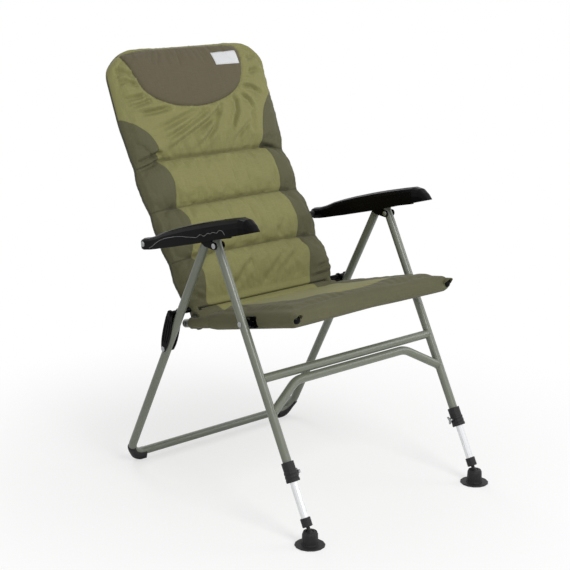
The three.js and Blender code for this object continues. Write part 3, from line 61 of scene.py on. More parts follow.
camera = placed("camera", put(bpy.data.cameras.new("camera"), sensor_width=36, lens=93.74))
right = Vector((0.737501, -0.675271, 0.010060)).normalized()
forward = Vector((0.655223, 0.711839, -0.252919)).normalized()
up = right.cross(forward).normalized()
turned = Matrix((right, up, -forward)).transposed().to_4x4()
camera.matrix_world = Matrix.Translation((-2.53147, -2.73977, 1.47804)) @ turned
scene.camera = camera


# Studio: a pale floor that keeps the soft shadow, a white surround, a wide lamp high in front and
# weak ones on the sitter's left and behind, at a level where a colour renders about as written.
def linear(code):
    """An sRGB hex colour as linear light, with full alpha."""
    parts = [int(code[i:i + 2], 16) / 255 for i in (1, 3, 5)]
    return tuple(c / 12.92 if c <= 0.04045 else ((c + 0.055) / 1.055) ** 2.4 for c in parts) + (1.0,)


def node(tree, kind, inputs=None, **settings):
    """Adds a shader node with its settings; an input is a value or the output that feeds it."""
    made = put(tree.nodes.new("ShaderNode" + kind), **settings)
    for name, value in (inputs or {}).items():
        if isinstance(value, bpy.types.NodeSocket):
            tree.links.new(value, made.inputs[name])
        else:
            made.inputs[name].default_value = value
    return made


def maths(operation, *values):
    """What a maths node makes of its values, in the tree of the first."""
    return node(values[0].id_data, "Math", dict(enumerate(values)), operation=operation).outputs[0]


def ranged(value, low, high, start=0.0, end=1.0, **settings):
    """A value that runs from start to end, mapped on to low to high."""
    inputs = {"Value": value, "From Min": start, "From Max": end, "To Min": low, "To Max": high}
    return node(value.id_data, "MapRange", inputs, **settings).outputs[0]


def material(name):
    """An empty node material, its tree, and a place on the object in metres."""
    made = bpy.data.materials.new(name)
    made.use_nodes = True
    made.node_tree.nodes.clear()
    return made, made.node_tree, node(made.node_tree, "TexCoord").outputs["Object"]


scene.view_settings.view_transform = "Standard"
world = bpy.data.worlds.new("studio_surround")
scene.world = world
world.use_nodes = True
sky = world.node_tree
sky.nodes.clear()
ray = node(sky, "LightPath")
seen = maths("MAXIMUM", ray.outputs["Is Camera Ray"], ray.outputs["Is Glossy Ray"])
seen = maths("MAXIMUM", seen, ray.outputs["Is Transmission Ray"])
white = node(sky, "Background", {"Color": (1, 1, 1, 1), "Strength": ranged(seen, 0.5, 1.0)})
node(sky, "OutputWorld", {"Surface": white.outputs[0]})

for name, size, power, place, aim in (
    ("key_lamp", 1.8, 84, (-0.5, -3.4, 3.2), (0, 0, 0.6)),
    ("fill_lamp", 1.6, 18, (2.9, -2.0, 1.9), (0, 0, 0.6)),
    ("rim_lamp", 1.6, 22, (0.8, 3.0, 2.6), (0, 0, 0.7)),
):
    lamp = placed(name, put(bpy.data.lights.new(name, "AREA"), shape="DISK", size=size, energy=power))
    lamp.location = place
    lamp.rotation_euler = (Vector(aim) - Vector(place)).to_track_quat("-Z", "Y").to_euler()

floor_paper, tree, place = material("white_floor_paper")
paper = node(tree, "BsdfPrincipled", {
    "Base Color": linear("#FCFCFB"), "Roughness": 0.9, "Specular IOR Level": 0.1})
glow = node(tree, "Emission", {"Color": (1, 1, 1, 1), "Strength": 1.0})
# The paper runs up into the white surround, so it shows as pure white away from the chair's shadow
far = node(tree, "VectorMath", {0: place}, operation="LENGTH").outputs["Value"]
away = ranged(far, 0.55, 1.0, 0.35, 1.3, interpolation_type="SMOOTHSTEP")
share = maths("MULTIPLY", node(tree, "LightPath").outputs["Is Camera Ray"], away)
both = node(tree, "MixShader", {0: share, 1: paper.outputs[0], 2: glow.outputs[0]})
node(tree, "OutputMaterial", {"Surface": both.outputs[0]})
FLOOR_RADIUS, FLOOR_DROP = 9, 0.0005


def circle(count):
    """Angles at even steps round a circle."""
    return np.linspace(0, 2 * pi, count, endpoint=False)


floor_mesh = bpy.data.meshes.new("floor")
rim = [(cos(a) * FLOOR_RADIUS, sin(a) * FLOOR_RADIUS, -FLOOR_DROP) for a in circle(64)]
floor_mesh.from_pydata(rim, [], [list(range(64))])
floor_mesh.materials.append(floor_paper)
floor = placed("floor", floor_mesh)


# Front legs: two straight steel tubes, 22 mm across, drilled for the pivots and powder coated in a
# semi-gloss grey-green. The coat shows a faint orange peel and a slightly uneven sheen.
def noisy(place, scale, detail=2.0):
    """A noise texture's value."""
    inputs = {"Vector": place, "Scale": scale, "Detail": detail}
    return node(place.id_data, "TexNoise", inputs).outputs["Fac"]


def mixed(share, first, second):
    """Two colours mixed by a share; each is a hex code or an output."""
    first, second = (linear(c) if isinstance(c, str) else c for c in (first, second))
    inputs = {"Factor": share, "A": first, "B": second}
    return node(share.id_data, "Mix", inputs, data_type="RGBA").outputs["Result"]


def bumped(height, strength, distance):
    """A normal tilted by a height."""
    inputs = {"Height": height, "Strength": strength, "Distance": distance}
    return node(height.id_data, "Bump", inputs).outputs[0]


def surfaced(tree, inputs):
    """Ends a material's tree in one surface shader, with constant numbers on its own sockets."""
    node(tree, "OutputMaterial", {"Surface": node(tree, "BsdfPrincipled", inputs).outputs[0]})


paint, tree, place = material("powder_coated_steel_grey_green")
cloud = noisy(place, 14.0, 3.0)
surfaced(tree, {
    "Base Color": mixed(cloud, "#63685B", "#6F7466"), "Roughness": ranged(cloud, 0.3, 0.42),
    "Metallic": 0.0, "IOR": 1.5, "Coat Weight": 0.3, "Coat Roughness": 0.2,
    "Normal": bumped(noisy(place, 520.0), 0.12, 0.0002)})

# Sizes are in millimetres. MIDDLE moves the leg crossing to its place in the shared frame.
MM = 0.001
MIDDLE = -49.6065
TUBE = 11.0
BORE = 9.8
LEG_X = 296
SIDES = (("left", 1), ("right", -1))


def at(x, y, z):
    """A point in millimetres, from the leg crossing's middle, as metres in the shared frame."""
    return Vector((x * MM, (y + MIDDLE) * MM, z * MM))


def made_mesh(name, points, faces, finish, sharp=40):
    """A named object from points in metres, smooth but for edges over the sharp angle."""
    mesh = bpy.data.meshes.new(name)
    mesh.from_pydata([tuple(p) for p in points], [], faces)
    mesh.update()
    mesh.materials.append(finish)
    mesh.shade_smooth()
    mesh.set_sharp_from_angle(angle=radians(sharp))
    return placed(name, mesh)


def skin(rings, closed=True):
    """Points and quads over rings of equal count, with a flat cap at both ends if closed."""
    count = len(rings[0])
    points = [p for ring in rings for p in ring]
    faces = []
    for j in range(len(rings) - 1):
        for i in range(count):
            a, b = j * count + i, j * count + (i + 1) % count
            faces.append((a, b, b + count, a + count))
    if closed:
        faces.append(tuple(range(count - 1, -1, -1)))
        faces.append(tuple(range((len(rings) - 1) * count, len(rings) * count)))
    return points, faces


def bent_route(corners, radii, step=5):
    """Straight runs joined by arcs of the given radii, with a point about every step degrees."""
    route = [corners[0]]
    for i in range(1, len(corners) - 1):
        into = (corners[i] - corners[i - 1]).normalized()
        out = (corners[i + 1] - corners[i]).normalized()
        turn = into.angle(out)
        inward = (out - into * into.dot(out)).normalized()
        radius = radii[i - 1]
        start = corners[i] - into * (radius * tan(turn / 2))
        centre = start + inward * radius
        spans = max(2, round(degrees(turn) / step))
        for k in range(spans + 1):
            angle = turn * k / spans
            route.append(centre - inward * (radius * cos(angle)) + into * (radius * sin(angle)))
    route.append(corners[-1])
    return route


def swept_rings(route, radius, sides=32):
    """Rings square to a route, turned as little as it allows."""
    tangents = []
    for i in range(len(route)):
        before, after = route[max(i - 1, 0)], route[min(i + 1, len(route) - 1)]
        tangents.append((after - before).normalized())
    normal = tangents[0].orthogonal().normalized()
    rings = []
    for i, point in enumerate(route):
        if i:
            normal = (normal - tangents[i] * normal.dot(tangents[i])).normalized()
        other = tangents[i].cross(normal)
        rings.append([point + (normal * cos(a) + other * sin(a)) * radius for a in circle(sides)])
    return rings


def tube(name, rings, body, node_name, inner=None):
    """A painted tube from its rings, with open mouths if it has inner rings, standing for its CAD node."""
    if inner:
        loop = rings + inner[::-1]
        points, faces = skin(loop, closed=False)
        count, last = len(rings[0]), (len(loop) - 1) * len(rings[0])
        faces += [(last + i, last + (i + 1) % count, (i + 1) % count, i) for i in range(count)]
    else:
        points, faces = skin(rings)
    made = made_mesh(name, points, faces, paint)
    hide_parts(node_name)
    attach(made, body)


def frame_tube(name, route, body, node_name):
    """A bored frame tube along a route."""
    tube(name, swept_rings(route, TUBE * MM), body, node_name, swept_rings(route, BORE * MM))


crossing = Vector((0, 708.0))
rear_corner = Vector((352.5, 20.0))
front_down = (Vector((-357.5, 29.5)) - crossing).normalized()
rear_down = (rear_corner - crossing).normalized()


def down_leg(x, direction, distance):
    """A point of a leg's centre line, at a distance in millimetres below the crossing."""
    side = crossing + direction * distance
    return at(x, side.x, side.y)


for side, sign in SIDES:
    ends = [down_leg(sign * LEG_X, front_down, d) for d in (29.4, 630)]
    frame_tube(f"front_leg_tube_{side}", ends, "front_legs", f"front_leg_{side}")


# Crossbar and brace: the straight bar and the bowed bar under it, saddle cut and welded between the
# front legs, with a small bead of weld at each end under the paint.
def meets_leg(start, axis, reach):
    """Where a line running outward comes within a reach in millimetres of a front leg's centre line."""
    sign = copysign(1, axis.x)
    foot = down_leg(sign * LEG_X, front_down, 0)
    run = (down_leg(sign * LEG_X, front_down, 100) - foot).normalized()
    off = start - foot
    off, go = off - run * off.dot(run), axis - run * axis.dot(run)
    a, b, c = go.dot(go), off.dot(go), off.dot(off) - (reach * MM) ** 2
    return start + axis * ((-b - sqrt(max(0.0, b * b - a * c))) / a)


def saddle_cut(rings):
    """A bar's rings with both ends run on to the curve of the legs, and closed along that curve."""
    closing = []
    for end, inner in ((rings[0], rings[1]), (rings[-1], rings[-2])):
        middle = sum(inner, Vector()) / len(inner)
        axis = (sum(end, Vector()) / len(end) - middle).normalized()
        closing.append([[meets_leg(middle + (p - middle) * share, axis, TUBE - 0.5) for p in inner]
                        for share in (1.0, 0.75, 0.5, 0.25, 0.03)])
    return closing[0][::-1] + rings[1:-1] + closing[1]


CROSSBAR_DOWN = 386
BRACE = ((-290, 470.3), (-192, 410), (192, 410), (290, 470.3))
BRACE_BEND = 64
upper_bar = [down_leg(x, front_down, CROSSBAR_DOWN) for x in (-280, 280)]
brace_route = bent_route([down_leg(x, front_down, low) for x, low in BRACE], [BRACE_BEND * MM] * 2)
tube("crossbar_tube", saddle_cut(swept_rings(upper_bar, TUBE * MM)), "front_legs", "upper_crossbar")
tube("brace_tube", saddle_cut(swept_rings(brace_route, TUBE * MM)), "front_legs", "lower_brace")


def weld_bead(name, centre, axis):
    """A ripple of weld metal along the curve where a bar meets a leg, under the paint."""
    axis = axis.normalized()
    first = axis.orthogonal().normalized()
    second = axis.cross(first)
    rings = []
    for i in range(64):
        a = 2 * pi * i / 64
        out = first * cos(a) + second * sin(a)
        ripple = 1.7 + 0.3 * cos(a * 22)
        spot = meets_leg(centre + out * ((TUBE - 0.6) * MM), axis, TUBE + 0.7)
        rings.append([spot + (out * cos(b) + axis * sin(b)) * (ripple * MM) for b in circle(8)])
    rings.append(rings[0])
    made = made_mesh(name, *skin(rings, closed=False), paint, sharp=80)
    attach(made, "front_legs")


for side, sign in SIDES:
    weld_bead(f"crossbar_weld_{side}", down_leg(sign * 240, front_down, CROSSBAR_DOWN), Vector((sign, 0, 0)))
    knee, foot = (down_leg(sign * x, front_down, low) for x, low in BRACE[2:])
    weld_bead(f"brace_weld_{side}", (knee + foot) / 2, foot - knee)

# Moulded fittings: glass-filled nylon with a polished black face, from a two-part steel mould. It
# shows long soft highlights, a faint texture in them, and rounded edges.
nylon, tree, place = material("polished_black_nylon")
surfaced(tree, {
    "Base Color": linear("#070608"), "Roughness": ranged(noisy(place, 38.0, 4.0), 0.17, 0.27),
    "IOR": 1.5, "Specular IOR Level": 0.08, "Normal": bumped(noisy(place, 700.0), 0.06, 0.0001)})

# Rivets, pins and screws: mild steel, zinc plated and barrel tumbled, so it is bright but soft, and
# pressed or screwed through the fittings and tubes.
zinc, tree, place = material("zinc_plated_steel")
surfaced(tree, {
    "Base Color": linear("#A3A5A7"), "Metallic": 1.0,
    "Roughness": ranged(noisy(place, 420.0, 3.0), 0.24, 0.42)})

# Matt mouldings: polypropylene from a spark-eroded mould, so its black has no clear reflection, for
# the collars, sleeves, feet, washers and bushes.
matt, tree, place = material("matt_black_polypropylene")
grain = noisy(place, 900.0)
surfaced(tree, {
    "Base Color": mixed(grain, "#19191A", "#252527"), "Roughness": 0.55, "IOR": 1.49,
    "Specular IOR Level": 0.3, "Normal": bumped(grain, 0.35, 0.0002)})

# Leg extensions: drawn aluminium tube, bright dipped and clear anodised. Fine draw lines run along it
# and stretch the highlights; they are drawn about 0.4 mm apart, coarser than the real ones, to show.
aluminium, tree, place = material("clear_anodised_drawn_aluminium")
lines = node(tree, "Mapping", {"Vector": place, "Scale": (2400.0, 260.0, 60.0)}).outputs[0]
surfaced(tree, {
    "Base Color": linear("#E4E5E7"), "Metallic": 1.0,
    "Roughness": ranged(noisy(lines, 1.0), 0.22, 0.36)})


# Fittings that keep the CAD's own shape: each takes its finish, smooth shading, and a small radius
# from its mould or from tumbling. A ball stud and its foot stay sharp, to clear each other in motion.
def finish_node(name, finish, edge):
    """Gives a CAD node its finish, and an edge radius in millimetres unless that is 0."""
    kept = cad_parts[name]
    kept.data.materials.clear()
    kept.data.materials.append(finish)
    kept.data.shade_smooth()
    kept.data.set_sharp_from_angle(angle=radians(35))
    if edge:
        put(kept.modifiers.new("edge_radius", "BEVEL"), width=edge * MM, segments=2,
            limit_method="ANGLE", angle_limit=radians(38), harden_normals=True)


for side, _ in SIDES:
    for finish, edges in (
        (nylon, {"leg_head": 1.2, "rear_knuckle": 0.8, "folding_link": 0.5, "link_bolt": 0.5,
                 "seat_tube_plug": 0.6, "seat_pivot_block": 1.0, "back_tube_plug": 0.6, "link_stud": 0.5,
                 "armrest": 0.6}),
        (matt, {"leg_collar": 0.4, "end_sleeve": 0.4, "ball_stud": 0.0, "swivel_foot": 0.0,
                "hinge_washer": 0.3, "armrest_bush": 0.4}),
        (zinc, {"ratchet_pin": 0.3, "leg_pivot_rivet": 0.4, "seat_pivot_rivet": 0.4, "wing_screw": 0.5,
                "link_rivet": 0.4, "hinge_rivet": 0.4, "armrest_bolt": 0.4}),
        (aluminium, {"extension_leg": 0.0}),
    ):
        for stem, edge in edges.items():
            finish_node(f"{stem}_{side}", finish, edge)

# Armrest relief: two fine raised beads on each armrest's outer side, in the same nylon but coloured a lighter
# grey as a painted highlight, for the light that a raised edge catches. One edges the top, the other follows
# the rack inside, in waves over its notches.
bead_highlight, tree, place = material("black_nylon_bead_painted_highlight")
surfaced(tree, {
    "Base Color": mixed(noisy(place, 160.0), "#4A4A4B", "#6E6D6C"), "Roughness": 0.24,
    "IOR": 1.5, "Specular IOR Level": 0.6})
BEAD = (
    (180, 617), (166, 624), (149, 636), (133, 645), (113, 654), (91, 660), (69, 666), (44, 671), (19, 674),
    (-2, 677), (-17, 679), (-25, 684), (-31, 689), (-38, 690), (-44, 687), (-51, 690), (-58, 696),
    (-65, 699), (-71, 697), (-77, 702), (-87, 704), (-95, 703), (-101, 710), (-109, 713), (-118, 711),
    (-124, 704))


def arm_hit(surface, sign, y, z, reach):
    """Where a ray that runs inwards over an armrest's side, at a place in millimetres, meets it."""
    return surface.ray_cast(Vector((sign * 0.5, y * MM, z * MM)), Vector((-sign, 0, 0)), reach)[0]


for side, sign in SIDES:
    arm = BVHTree.FromObject(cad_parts[f"armrest_{side}"], bpy.context.evaluated_depsgraph_get())
    edge = []
    for y in range(186, -112, -6):
        for z in np.arange(760, 600, -0.5):
            if arm_hit(arm, sign, y, z, 0.196) is not None:
                edge.append((y, z))
                break
    # Painted highlight: the top bead carries the light line along the armrest's rounded top edge, the rack
    # bead the one along the relief
    for name, line in (("rack_bead", BEAD), ("top_edge_highlight_bead", edge)):
        eased = [Vector((0, y, z)) for y, z in line]
        for _ in range(2):
            cut = [p for a, b in zip(eased, eased[1:]) for p in (a * 0.75 + b * 0.25, a * 0.25 + b * 0.75)]
            eased = [eased[0]] + cut + [eased[-1]]
        route = [arm_hit(arm, sign, spot.y, spot.z - 0.4, 0.23) for spot in eased]
        rings = swept_rings([hit for hit in route if hit is not None], 0.8 * MM, sides=10)
        bead = made_mesh(f"armrest_{name}_{side}", *skin(rings), bead_highlight, sharp=80)
        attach(bead, f"arm_{side}")

# Rear legs: one steel tube bent into a wide U whose base lies along the ground, in the same paint.
# Its upper ends sit in the knuckles that turn on the front legs.
REAR_BEND = 46
rear_route = bent_route(
    [down_leg(-LEG_X, rear_down, 49.5), at(-LEG_X, *rear_corner), at(LEG_X, *rear_corner),
     down_leg(LEG_X, rear_down, 49.5)], [REAR_BEND * MM] * 2)
frame_tube("rear_leg_tube", rear_route, "rear_legs", "rear_leg_frame")


# Rear shoes: soft moulded half shells that clip over the outside of the two bottom bends, with a flat
# sole, in matt black polypropylene.
def unit(value):
    """A value kept between 0 and 1."""
    return np.clip(value, 0, 1)


def smooth(value, low, high):
    """Eases a value from 0 at low to 1 at high."""
    share = unit((value - low) / (high - low))
    return share * share * (3 - 2 * share)


SHELL, INSET = 13.4, 10.4
for side, sign in SIDES:
    outward = Vector((sign, 0, 0))
    leg_up = (down_leg(LEG_X, rear_down, 690) - at(LEG_X, *rear_corner)).normalized()
    bend_middle = at(sign * (LEG_X - REAR_BEND), *rear_corner) + leg_up * (REAR_BEND * MM)
    sideways = outward.cross(leg_up)
    # Radians round the bend, closest at the lips; below 0 the shoe runs straight along the base
    turns = [-0.16, -0.15, -0.12, -0.06, *np.linspace(0, 1.2, 15), 1.26, 1.28]
    rings = []
    for number, turn in enumerate(turns):
        inward = leg_up if turn < 0 else leg_up * cos(turn) - outward * sin(turn)
        point = bend_middle - inward * (REAR_BEND * MM) + outward * (min(turn, 0.0) * REAR_BEND * MM)
        lip = {0: 1.6, 1: 0.3}.get(min(number, len(turns) - 1 - number), 0.0)
        ring = []
        for a in circle(40):
            open_side = smooth(abs(degrees(atan2(sin(a), cos(a)))), 96, 124)
            way = sideways * sin(a) - inward * cos(a)
            spot = point + way * ((SHELL - lip) * (1 - open_side) + INSET * open_side) * MM
            sole = smooth(-way.z, 0.25, 0.8) * (1 - smooth(turn, 0.1, 1.0)) * (1 - open_side)
            ring.append(Vector((spot.x, spot.y, max(0.0002, spot.z * (1 - sole)))))
        rings.append(ring)
    shoe = made_mesh(f"corner_shoe_{side}", *skin(rings), matt, sharp=60)
    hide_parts(f"rear_shoe_{side}")
    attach(shoe, "rear_legs")

# Seat rails: straight steel tubes in the same paint, each from a front plug, past the block that is
# riveted to the leg, to the back hinge.
RAIL_X = 262
SEAT_REACH = 252
slope = radians(13.4)
seat_pivot = crossing + front_down * 246.5
seat_back = Vector((cos(slope), -sin(slope)))
seat_out = Vector((sin(slope), cos(slope)))
hinge = seat_pivot + seat_back * SEAT_REACH


def on_seat(x, along, out):
    """A point in the seat's own frame: back along the rails from the leg pivot, and out of the seat."""
    side = seat_pivot + seat_back * along + seat_out * out
    return at(x, side.x, side.y)


for side, sign in SIDES:
    ends = [on_seat(sign * RAIL_X, along, 0) for along in (-153, 268)]
    frame_tube(f"seat_rail_{side}", ends, "seat", f"seat_tube_{side}")

# Back frame: one steel tube in the same paint, bent into a tall U upside down, with a gentle bend at
# the lumbar height. Its lower ends are riveted to the seat rails at the hinge.
BACK_X = 236
LOWER, UPPER = 402.0, 327.0
BACK_TOP = LOWER + UPPER
TOP_BEND, LUMBAR_BEND = 64, 260
lean, bend = radians(33.4), radians(10.4)
back_up = Vector((sin(lean), cos(lean)))
back_front = Vector((-cos(lean), sin(lean)))
upper_up = Vector((sin(lean - bend), cos(lean - bend)))
upper_front = Vector((-cos(lean - bend), sin(lean - bend)))


def past_bend(place):
    """The share of the way through the lumbar bend at a place up the back, from 0 to 1."""
    return unit((place - LOWER + 24) / 48)


def on_back(x, place, out):
    """A point of the back: up the frame from the hinge, and out in front of the tube line."""
    blend = float(past_bend(place))
    front = (back_front * (1 - blend) + upper_front * blend).normalized()
    side = hinge + back_up * min(place, LOWER) + upper_up * max(0.0, place - LOWER) + front * out
    return at(x, side.x, side.y)


back_route = bent_route(
    [on_back(x, place, 0) for x, place in (
        (-BACK_X, -14), (-BACK_X, LOWER), (-BACK_X, BACK_TOP),
        (BACK_X, BACK_TOP), (BACK_X, LOWER), (BACK_X, -14))],
    [r * MM for r in (LUMBAR_BEND, TOP_BEND, TOP_BEND, LUMBAR_BEND)], step=3)
frame_tube("back_frame_tube", back_route, "back", "back_frame")

# Back pad: hollow-fibre filling quilted into four panels between two layers of woven polyester,
# sleeved on the back frame. Light olive in the middle, darker sides, with sewn channels between.
# EDGE is the pad's edge radius, and DROOPS is how far each channel droops at the sides.
EDGE = 14.5
PAD_LOW, PAD_TOP = 31.0, 743
PAD_CORNER = TOP_BEND + EDGE
CORNER_START = BACK_TOP - TOP_BEND
CHANNELS = (165.0, 306.0, 441.0)
DROOPS = (-5.0, -4.0, -14.0)


def from_channel(place, across):
    """Distance up the back from the nearest channel; each droops a little towards the sides."""
    sides = smooth(np.abs(across), 185, 256)
    return np.min([np.abs(place - seam - droop * sides) for seam, droop in zip(CHANNELS, DROOPS)], axis=0)


def back_half(place):
    """Half the back pad's width at a place up the back: it bulges between the channels."""
    full = 250.5 + 6.5 * smooth(place, 48, 125) + 7.0 * smooth(place, 33, 52) * (1 - smooth(place, 105, 160))
    puff = 5.0 * smooth(from_channel(place, 256), 0, 42)
    puff *= smooth(place, 130, 190) * (1 - smooth(place, 690, 740))
    over = np.maximum(0.0, place - CORNER_START)
    return full + puff - PAD_CORNER + np.sqrt(np.maximum(0.0, PAD_CORNER ** 2 - over ** 2))


def lopsided(x, place):
    """The pad's filling sits a little further out beside the headrest on the sitter's right."""
    return x * (1 + 0.03 * smooth(place, 460, 560) * (1 - smooth(place, 690, 735)) * (x < 0))


def end_round(place):
    """Thins the pad at both ends, so that they are round."""
    over = max(0.0, place - BACK_TOP) / EDGE
    under = max(0.0, PAD_LOW + 3 - place) / 3.3
    return sqrt(max(0.02, 1 - max(over, under) ** 2))


def back_crown(place, share):
    """How far the filling lifts the front, more at the lumbar height and not at the channels."""
    low = smooth(place, 48, 125)
    lumbar = 9.0 * (1 - smooth(place, CHANNELS[0], CHANNELS[1]))
    end = 1 - 0.75 * smooth(place, BACK_TOP - PAD_CORNER, BACK_TOP + EDGE)
    crown = (12.0 + lumbar) * low * end * (1 - abs(share) ** 3.2)
    valley = max(0.0, 1 - from_channel(place, share * 256) / 13) ** 1.4
    return crown - valley * 12.0 * low * (1 - abs(share) ** 8)


def pad_ring(half, reach, front, rear, crown, under, across=44):
    """One closed ring of a pad, as pairs of across and out, from the right edge over the front."""
    inner = half - reach
    quarter = [pi / 2 * k / 8 for k in range(8)]
    shares = [-1 + 2 * k / across for k in range(across + 1)]
    ring = [(-inner - reach * cos(a), front * sin(a)) for a in quarter]
    ring += [(share * inner, front + crown(share)) for share in shares]
    for k in range(1, 17):
        a = pi / 2 - pi * k / 17
        ring.append((inner + reach * cos(a), (front if a > 0 else rear) * sin(a)))
    ring += [(share * inner, -rear + under(share)) for share in shares[-2:0:-1]]
    ring += [(-inner - reach * cos(a - pi / 2), rear * sin(a - pi / 2)) for a in quarter]
    return ring


# An even skin of quads 5 mm wide, and every quad split into four
EVEN = {"mode": "VOXEL", "voxel_size": 5.0 * MM, "use_smooth_shade": True}
FINE = {"levels": 1, "render_levels": 1}


def reshaped(made, kind, settings):
    """Replaces an object's mesh by what one modifier makes of it."""
    put(made.modifiers.new(kind, kind), **settings)
    bpy.context.view_layer.update()
    made.data = bpy.data.meshes.new_from_object(made.evaluated_get(bpy.context.evaluated_depsgraph_get()))
    made.modifiers.clear()


def vectors(mesh, kind="co"):
    """All the vertices' places or normals as rows."""
    values = np.empty(len(mesh.vertices) * 3)
    mesh.vertices.foreach_get(kind, values)
    return values.reshape(-1, 3)


def moved_to(made, places):
    """Puts the vertices at new places."""
    made.data.vertices.foreach_set("co", places.ravel())
    made.data.update()


def filled(made, held, pressure, slack, cap, frames=20):
    """Fills a pad by cloth simulation: held gives each vertex's grip by the stitching from 0 to 1."""
    start = vectors(made.data)
    group = made.vertex_groups.new(name="stitched")
    for index, weight in enumerate(held):
        if weight > 0.01:
            group.add([index], float(weight), "REPLACE")
    cloth = made.modifiers.new("filling", "CLOTH")
    put(cloth.settings, quality=5, mass=0.25, tension_stiffness=12, compression_stiffness=12,
        shear_stiffness=4, bending_stiffness=0.4, use_pressure=True, uniform_pressure_force=pressure,
        shrink_min=-slack, shrink_max=-slack, vertex_group_mass=group.name)
    cloth.settings.effector_weights.gravity = 0
    put(cloth.point_cache, frame_start=1, frame_end=frames)
    for number in range(1, frames + 1):
        scene.frame_set(number)
    evaluated = made.evaluated_get(bpy.context.evaluated_depsgraph_get())
    end = vectors(evaluated.to_mesh())
    evaluated.to_mesh_clear()
    made.modifiers.clear()
    scene.frame_set(1)
    move = end - start
    limit = np.minimum(1.0, cap * MM / np.maximum(np.linalg.norm(move, axis=1), 1e-9))
    moved_to(made, start + move * limit[:, None])


BACK_TURN = np.array([[0.0, *back_up], [0.0, *back_front]])
UPPER_TURN = np.array([[0.0, *upper_up], [0.0, *upper_front]])
HINGE = np.array([0.0, hinge.x + MIDDLE, hinge.y])
KNEE = HINGE + BACK_TURN[0] * LOWER


def back_places(co):
    """Points in metres as millimetres across the back, up it and out of it."""
    low = (co / MM - HINGE) @ BACK_TURN.T
    high = (co / MM - KNEE) @ UPPER_TURN.T
    share = past_bend(low[:, 0])
    place = low[:, 0] * (1 - share) + (high[:, 0] + LOWER) * share
    return co[:, 0] / MM, place, low[:, 1] * (1 - share) + high[:, 1] * share


rings = []
for row in (*np.linspace(PAD_LOW, 44, 8), *np.linspace(48, 700, 120), *np.linspace(705, 742.5, 14)):
    thick = EDGE * end_round(row) - 0.8
    puff = smooth(from_channel(row, 256), 0, 34) * (4.5 - 3.0 * smooth(row, 400, 470))
    swell = (2.0 + puff) * smooth(row, 46, 70) * end_round(row)
    tuck = max(0.0, 1 - float(from_channel(row, 0)) / 15) ** 1.6 * 4.0
    ring = pad_ring(
        back_half(row) - 0.8, EDGE - 0.8, min(thick + swell, row * 0.35), thick,
        lambda share: back_crown(row, share) * end_round(row), lambda share: tuck * (1 - abs(share)))
    rings.append([on_back(lopsided(x, row), row, out) for x, out in ring])
back_pad = made_mesh("back_pad", *skin(rings), paint)
reshaped(back_pad, "REMESH", EVEN)
across, place, out = back_places(vectors(back_pad.data))
grip = np.maximum.reduce([
    unit(1.5 - from_channel(place, across) / 4.0),
    unit((np.abs(across) - (back_half(np.clip(place, PAD_LOW, PAD_TOP)) - 9)) / 6.0),
    unit((place - 726) / 8.0),
    unit((60 - place) / 10.0),
    np.where(out < 0, 0.6, 0)])
filled(back_pad, grip, pressure=4.0, slack=0.035, cap=9.0)
reshaped(back_pad, "SUBSURF", FINE)

# Sewn outlines as places across and up the back: the light middle, and the headrest on it
LIGHT = (
    (-201, 12), (-193, 77), (-188, 120), (-197, 165), (-187, 190), (-170, 255), (-178, 306), (-170, 380),
    (-184, 425), (-191, 441), (-186, 472), (-203, 510), (-237, 539), (-272, 564), (-330, 585), (-330, 800),
    (330, 800), (330, 640), (272, 605), (240, 586), (215, 560), (197, 535), (181, 493), (171, 445),
    (179, 431), (189, 401), (187, 329), (186, 306), (182, 280), (186, 212), (174, 165), (183, 120),
    (170, 60), (165, 12))
REST = (
    (-225, 737), (-218, 712), (-203, 662), (-184, 619), (-149, 597), (-112, 580), (-50, 570), (5, 569),
    (70, 583), (108, 599), (137, 620), (158, 656), (168, 698), (168, 722), (160, 737))
# Folds gathered into the sewing: depth, half width, and places across and up, towards the seam
FOLDS = (
    (5.2, 7, (-258, 701), (-214, 667)), (5.4, 6, (-262, 651), (-235, 656), (-207, 643)),
    (6.0, 7, (-262, 611), (-237, 607), (-190, 610)), (5.4, 6, (-262, 589), (-235, 587), (-177, 598)),
    (5.8, 7, (-229, 565), (-176, 566), (-126, 572)),
    (4.8, 9, (-201, 514), (-140, 526), (-71, 545), (-21, 559)),
    (5.2, 8, (-181, 482), (-111, 505), (-48, 532), (1, 553)),
    (5.6, 8, (-163, 452), (-120, 476), (-57, 503), (1, 527), (32, 550)),
    (4.8, 7, (-60, 456), (-24, 477), (8, 504), (33, 539), (49, 562)),
    (2.6, 8, (-118, 456), (-72, 482), (-30, 500)),
    (5.4, 6, (55, 476), (71, 494), (91, 526), (104, 544), (108, 572), (102, 584)),
    (3.4, 6, (72, 456), (88, 473), (127, 503), (137, 510)),
    (4.2, 5, (122, 592), (137, 586), (156, 572), (163, 552)),
    (5.0, 6, (226, 584), (201, 593), (176, 607), (148, 613)), (2.8, 8, (157, 470), (145, 498), (160, 538)),
    (4.4, 7, (236, 650), (205, 655), (184, 650)), (4.0, 7, (232, 700), (208, 694), (192, 690)),
    (7.5, 6, (-262, 436), (-222, 447), (-186, 458)), (3.8, 5, (-262, 417), (-238, 425), (-212, 430)),
    (4.6, 6, (252, 421), (202, 434), (174, 445)), (3.2, 5, (-262, 148), (-238, 157)),
    (3.2, 9, (-128, 52), (-83, 77), (-52, 104), (-18, 122)),
    (2.6, 9, (30, 62), (94, 95), (155, 129), (176, 141)), (2.6, 9, (-10, 48), (40, 86), (84, 118)),
    (2.4, 8, (92, 172), (112, 190), (137, 218)), (2.2, 8, (-150, 182), (-120, 206), (-104, 226)),
    (5.0, 5, (164, 42), (197, 47), (233, 48), (252, 52)), (4.6, 5, (198, 66), (228, 72), (254, 74)),
    (2.6, 6, (197, 142), (222, 128), (240, 122)), (3.0, 6, (-198, 44), (-226, 62), (-250, 66)),
    (2.8, 6, (-204, 92), (-228, 100), (-252, 96)))


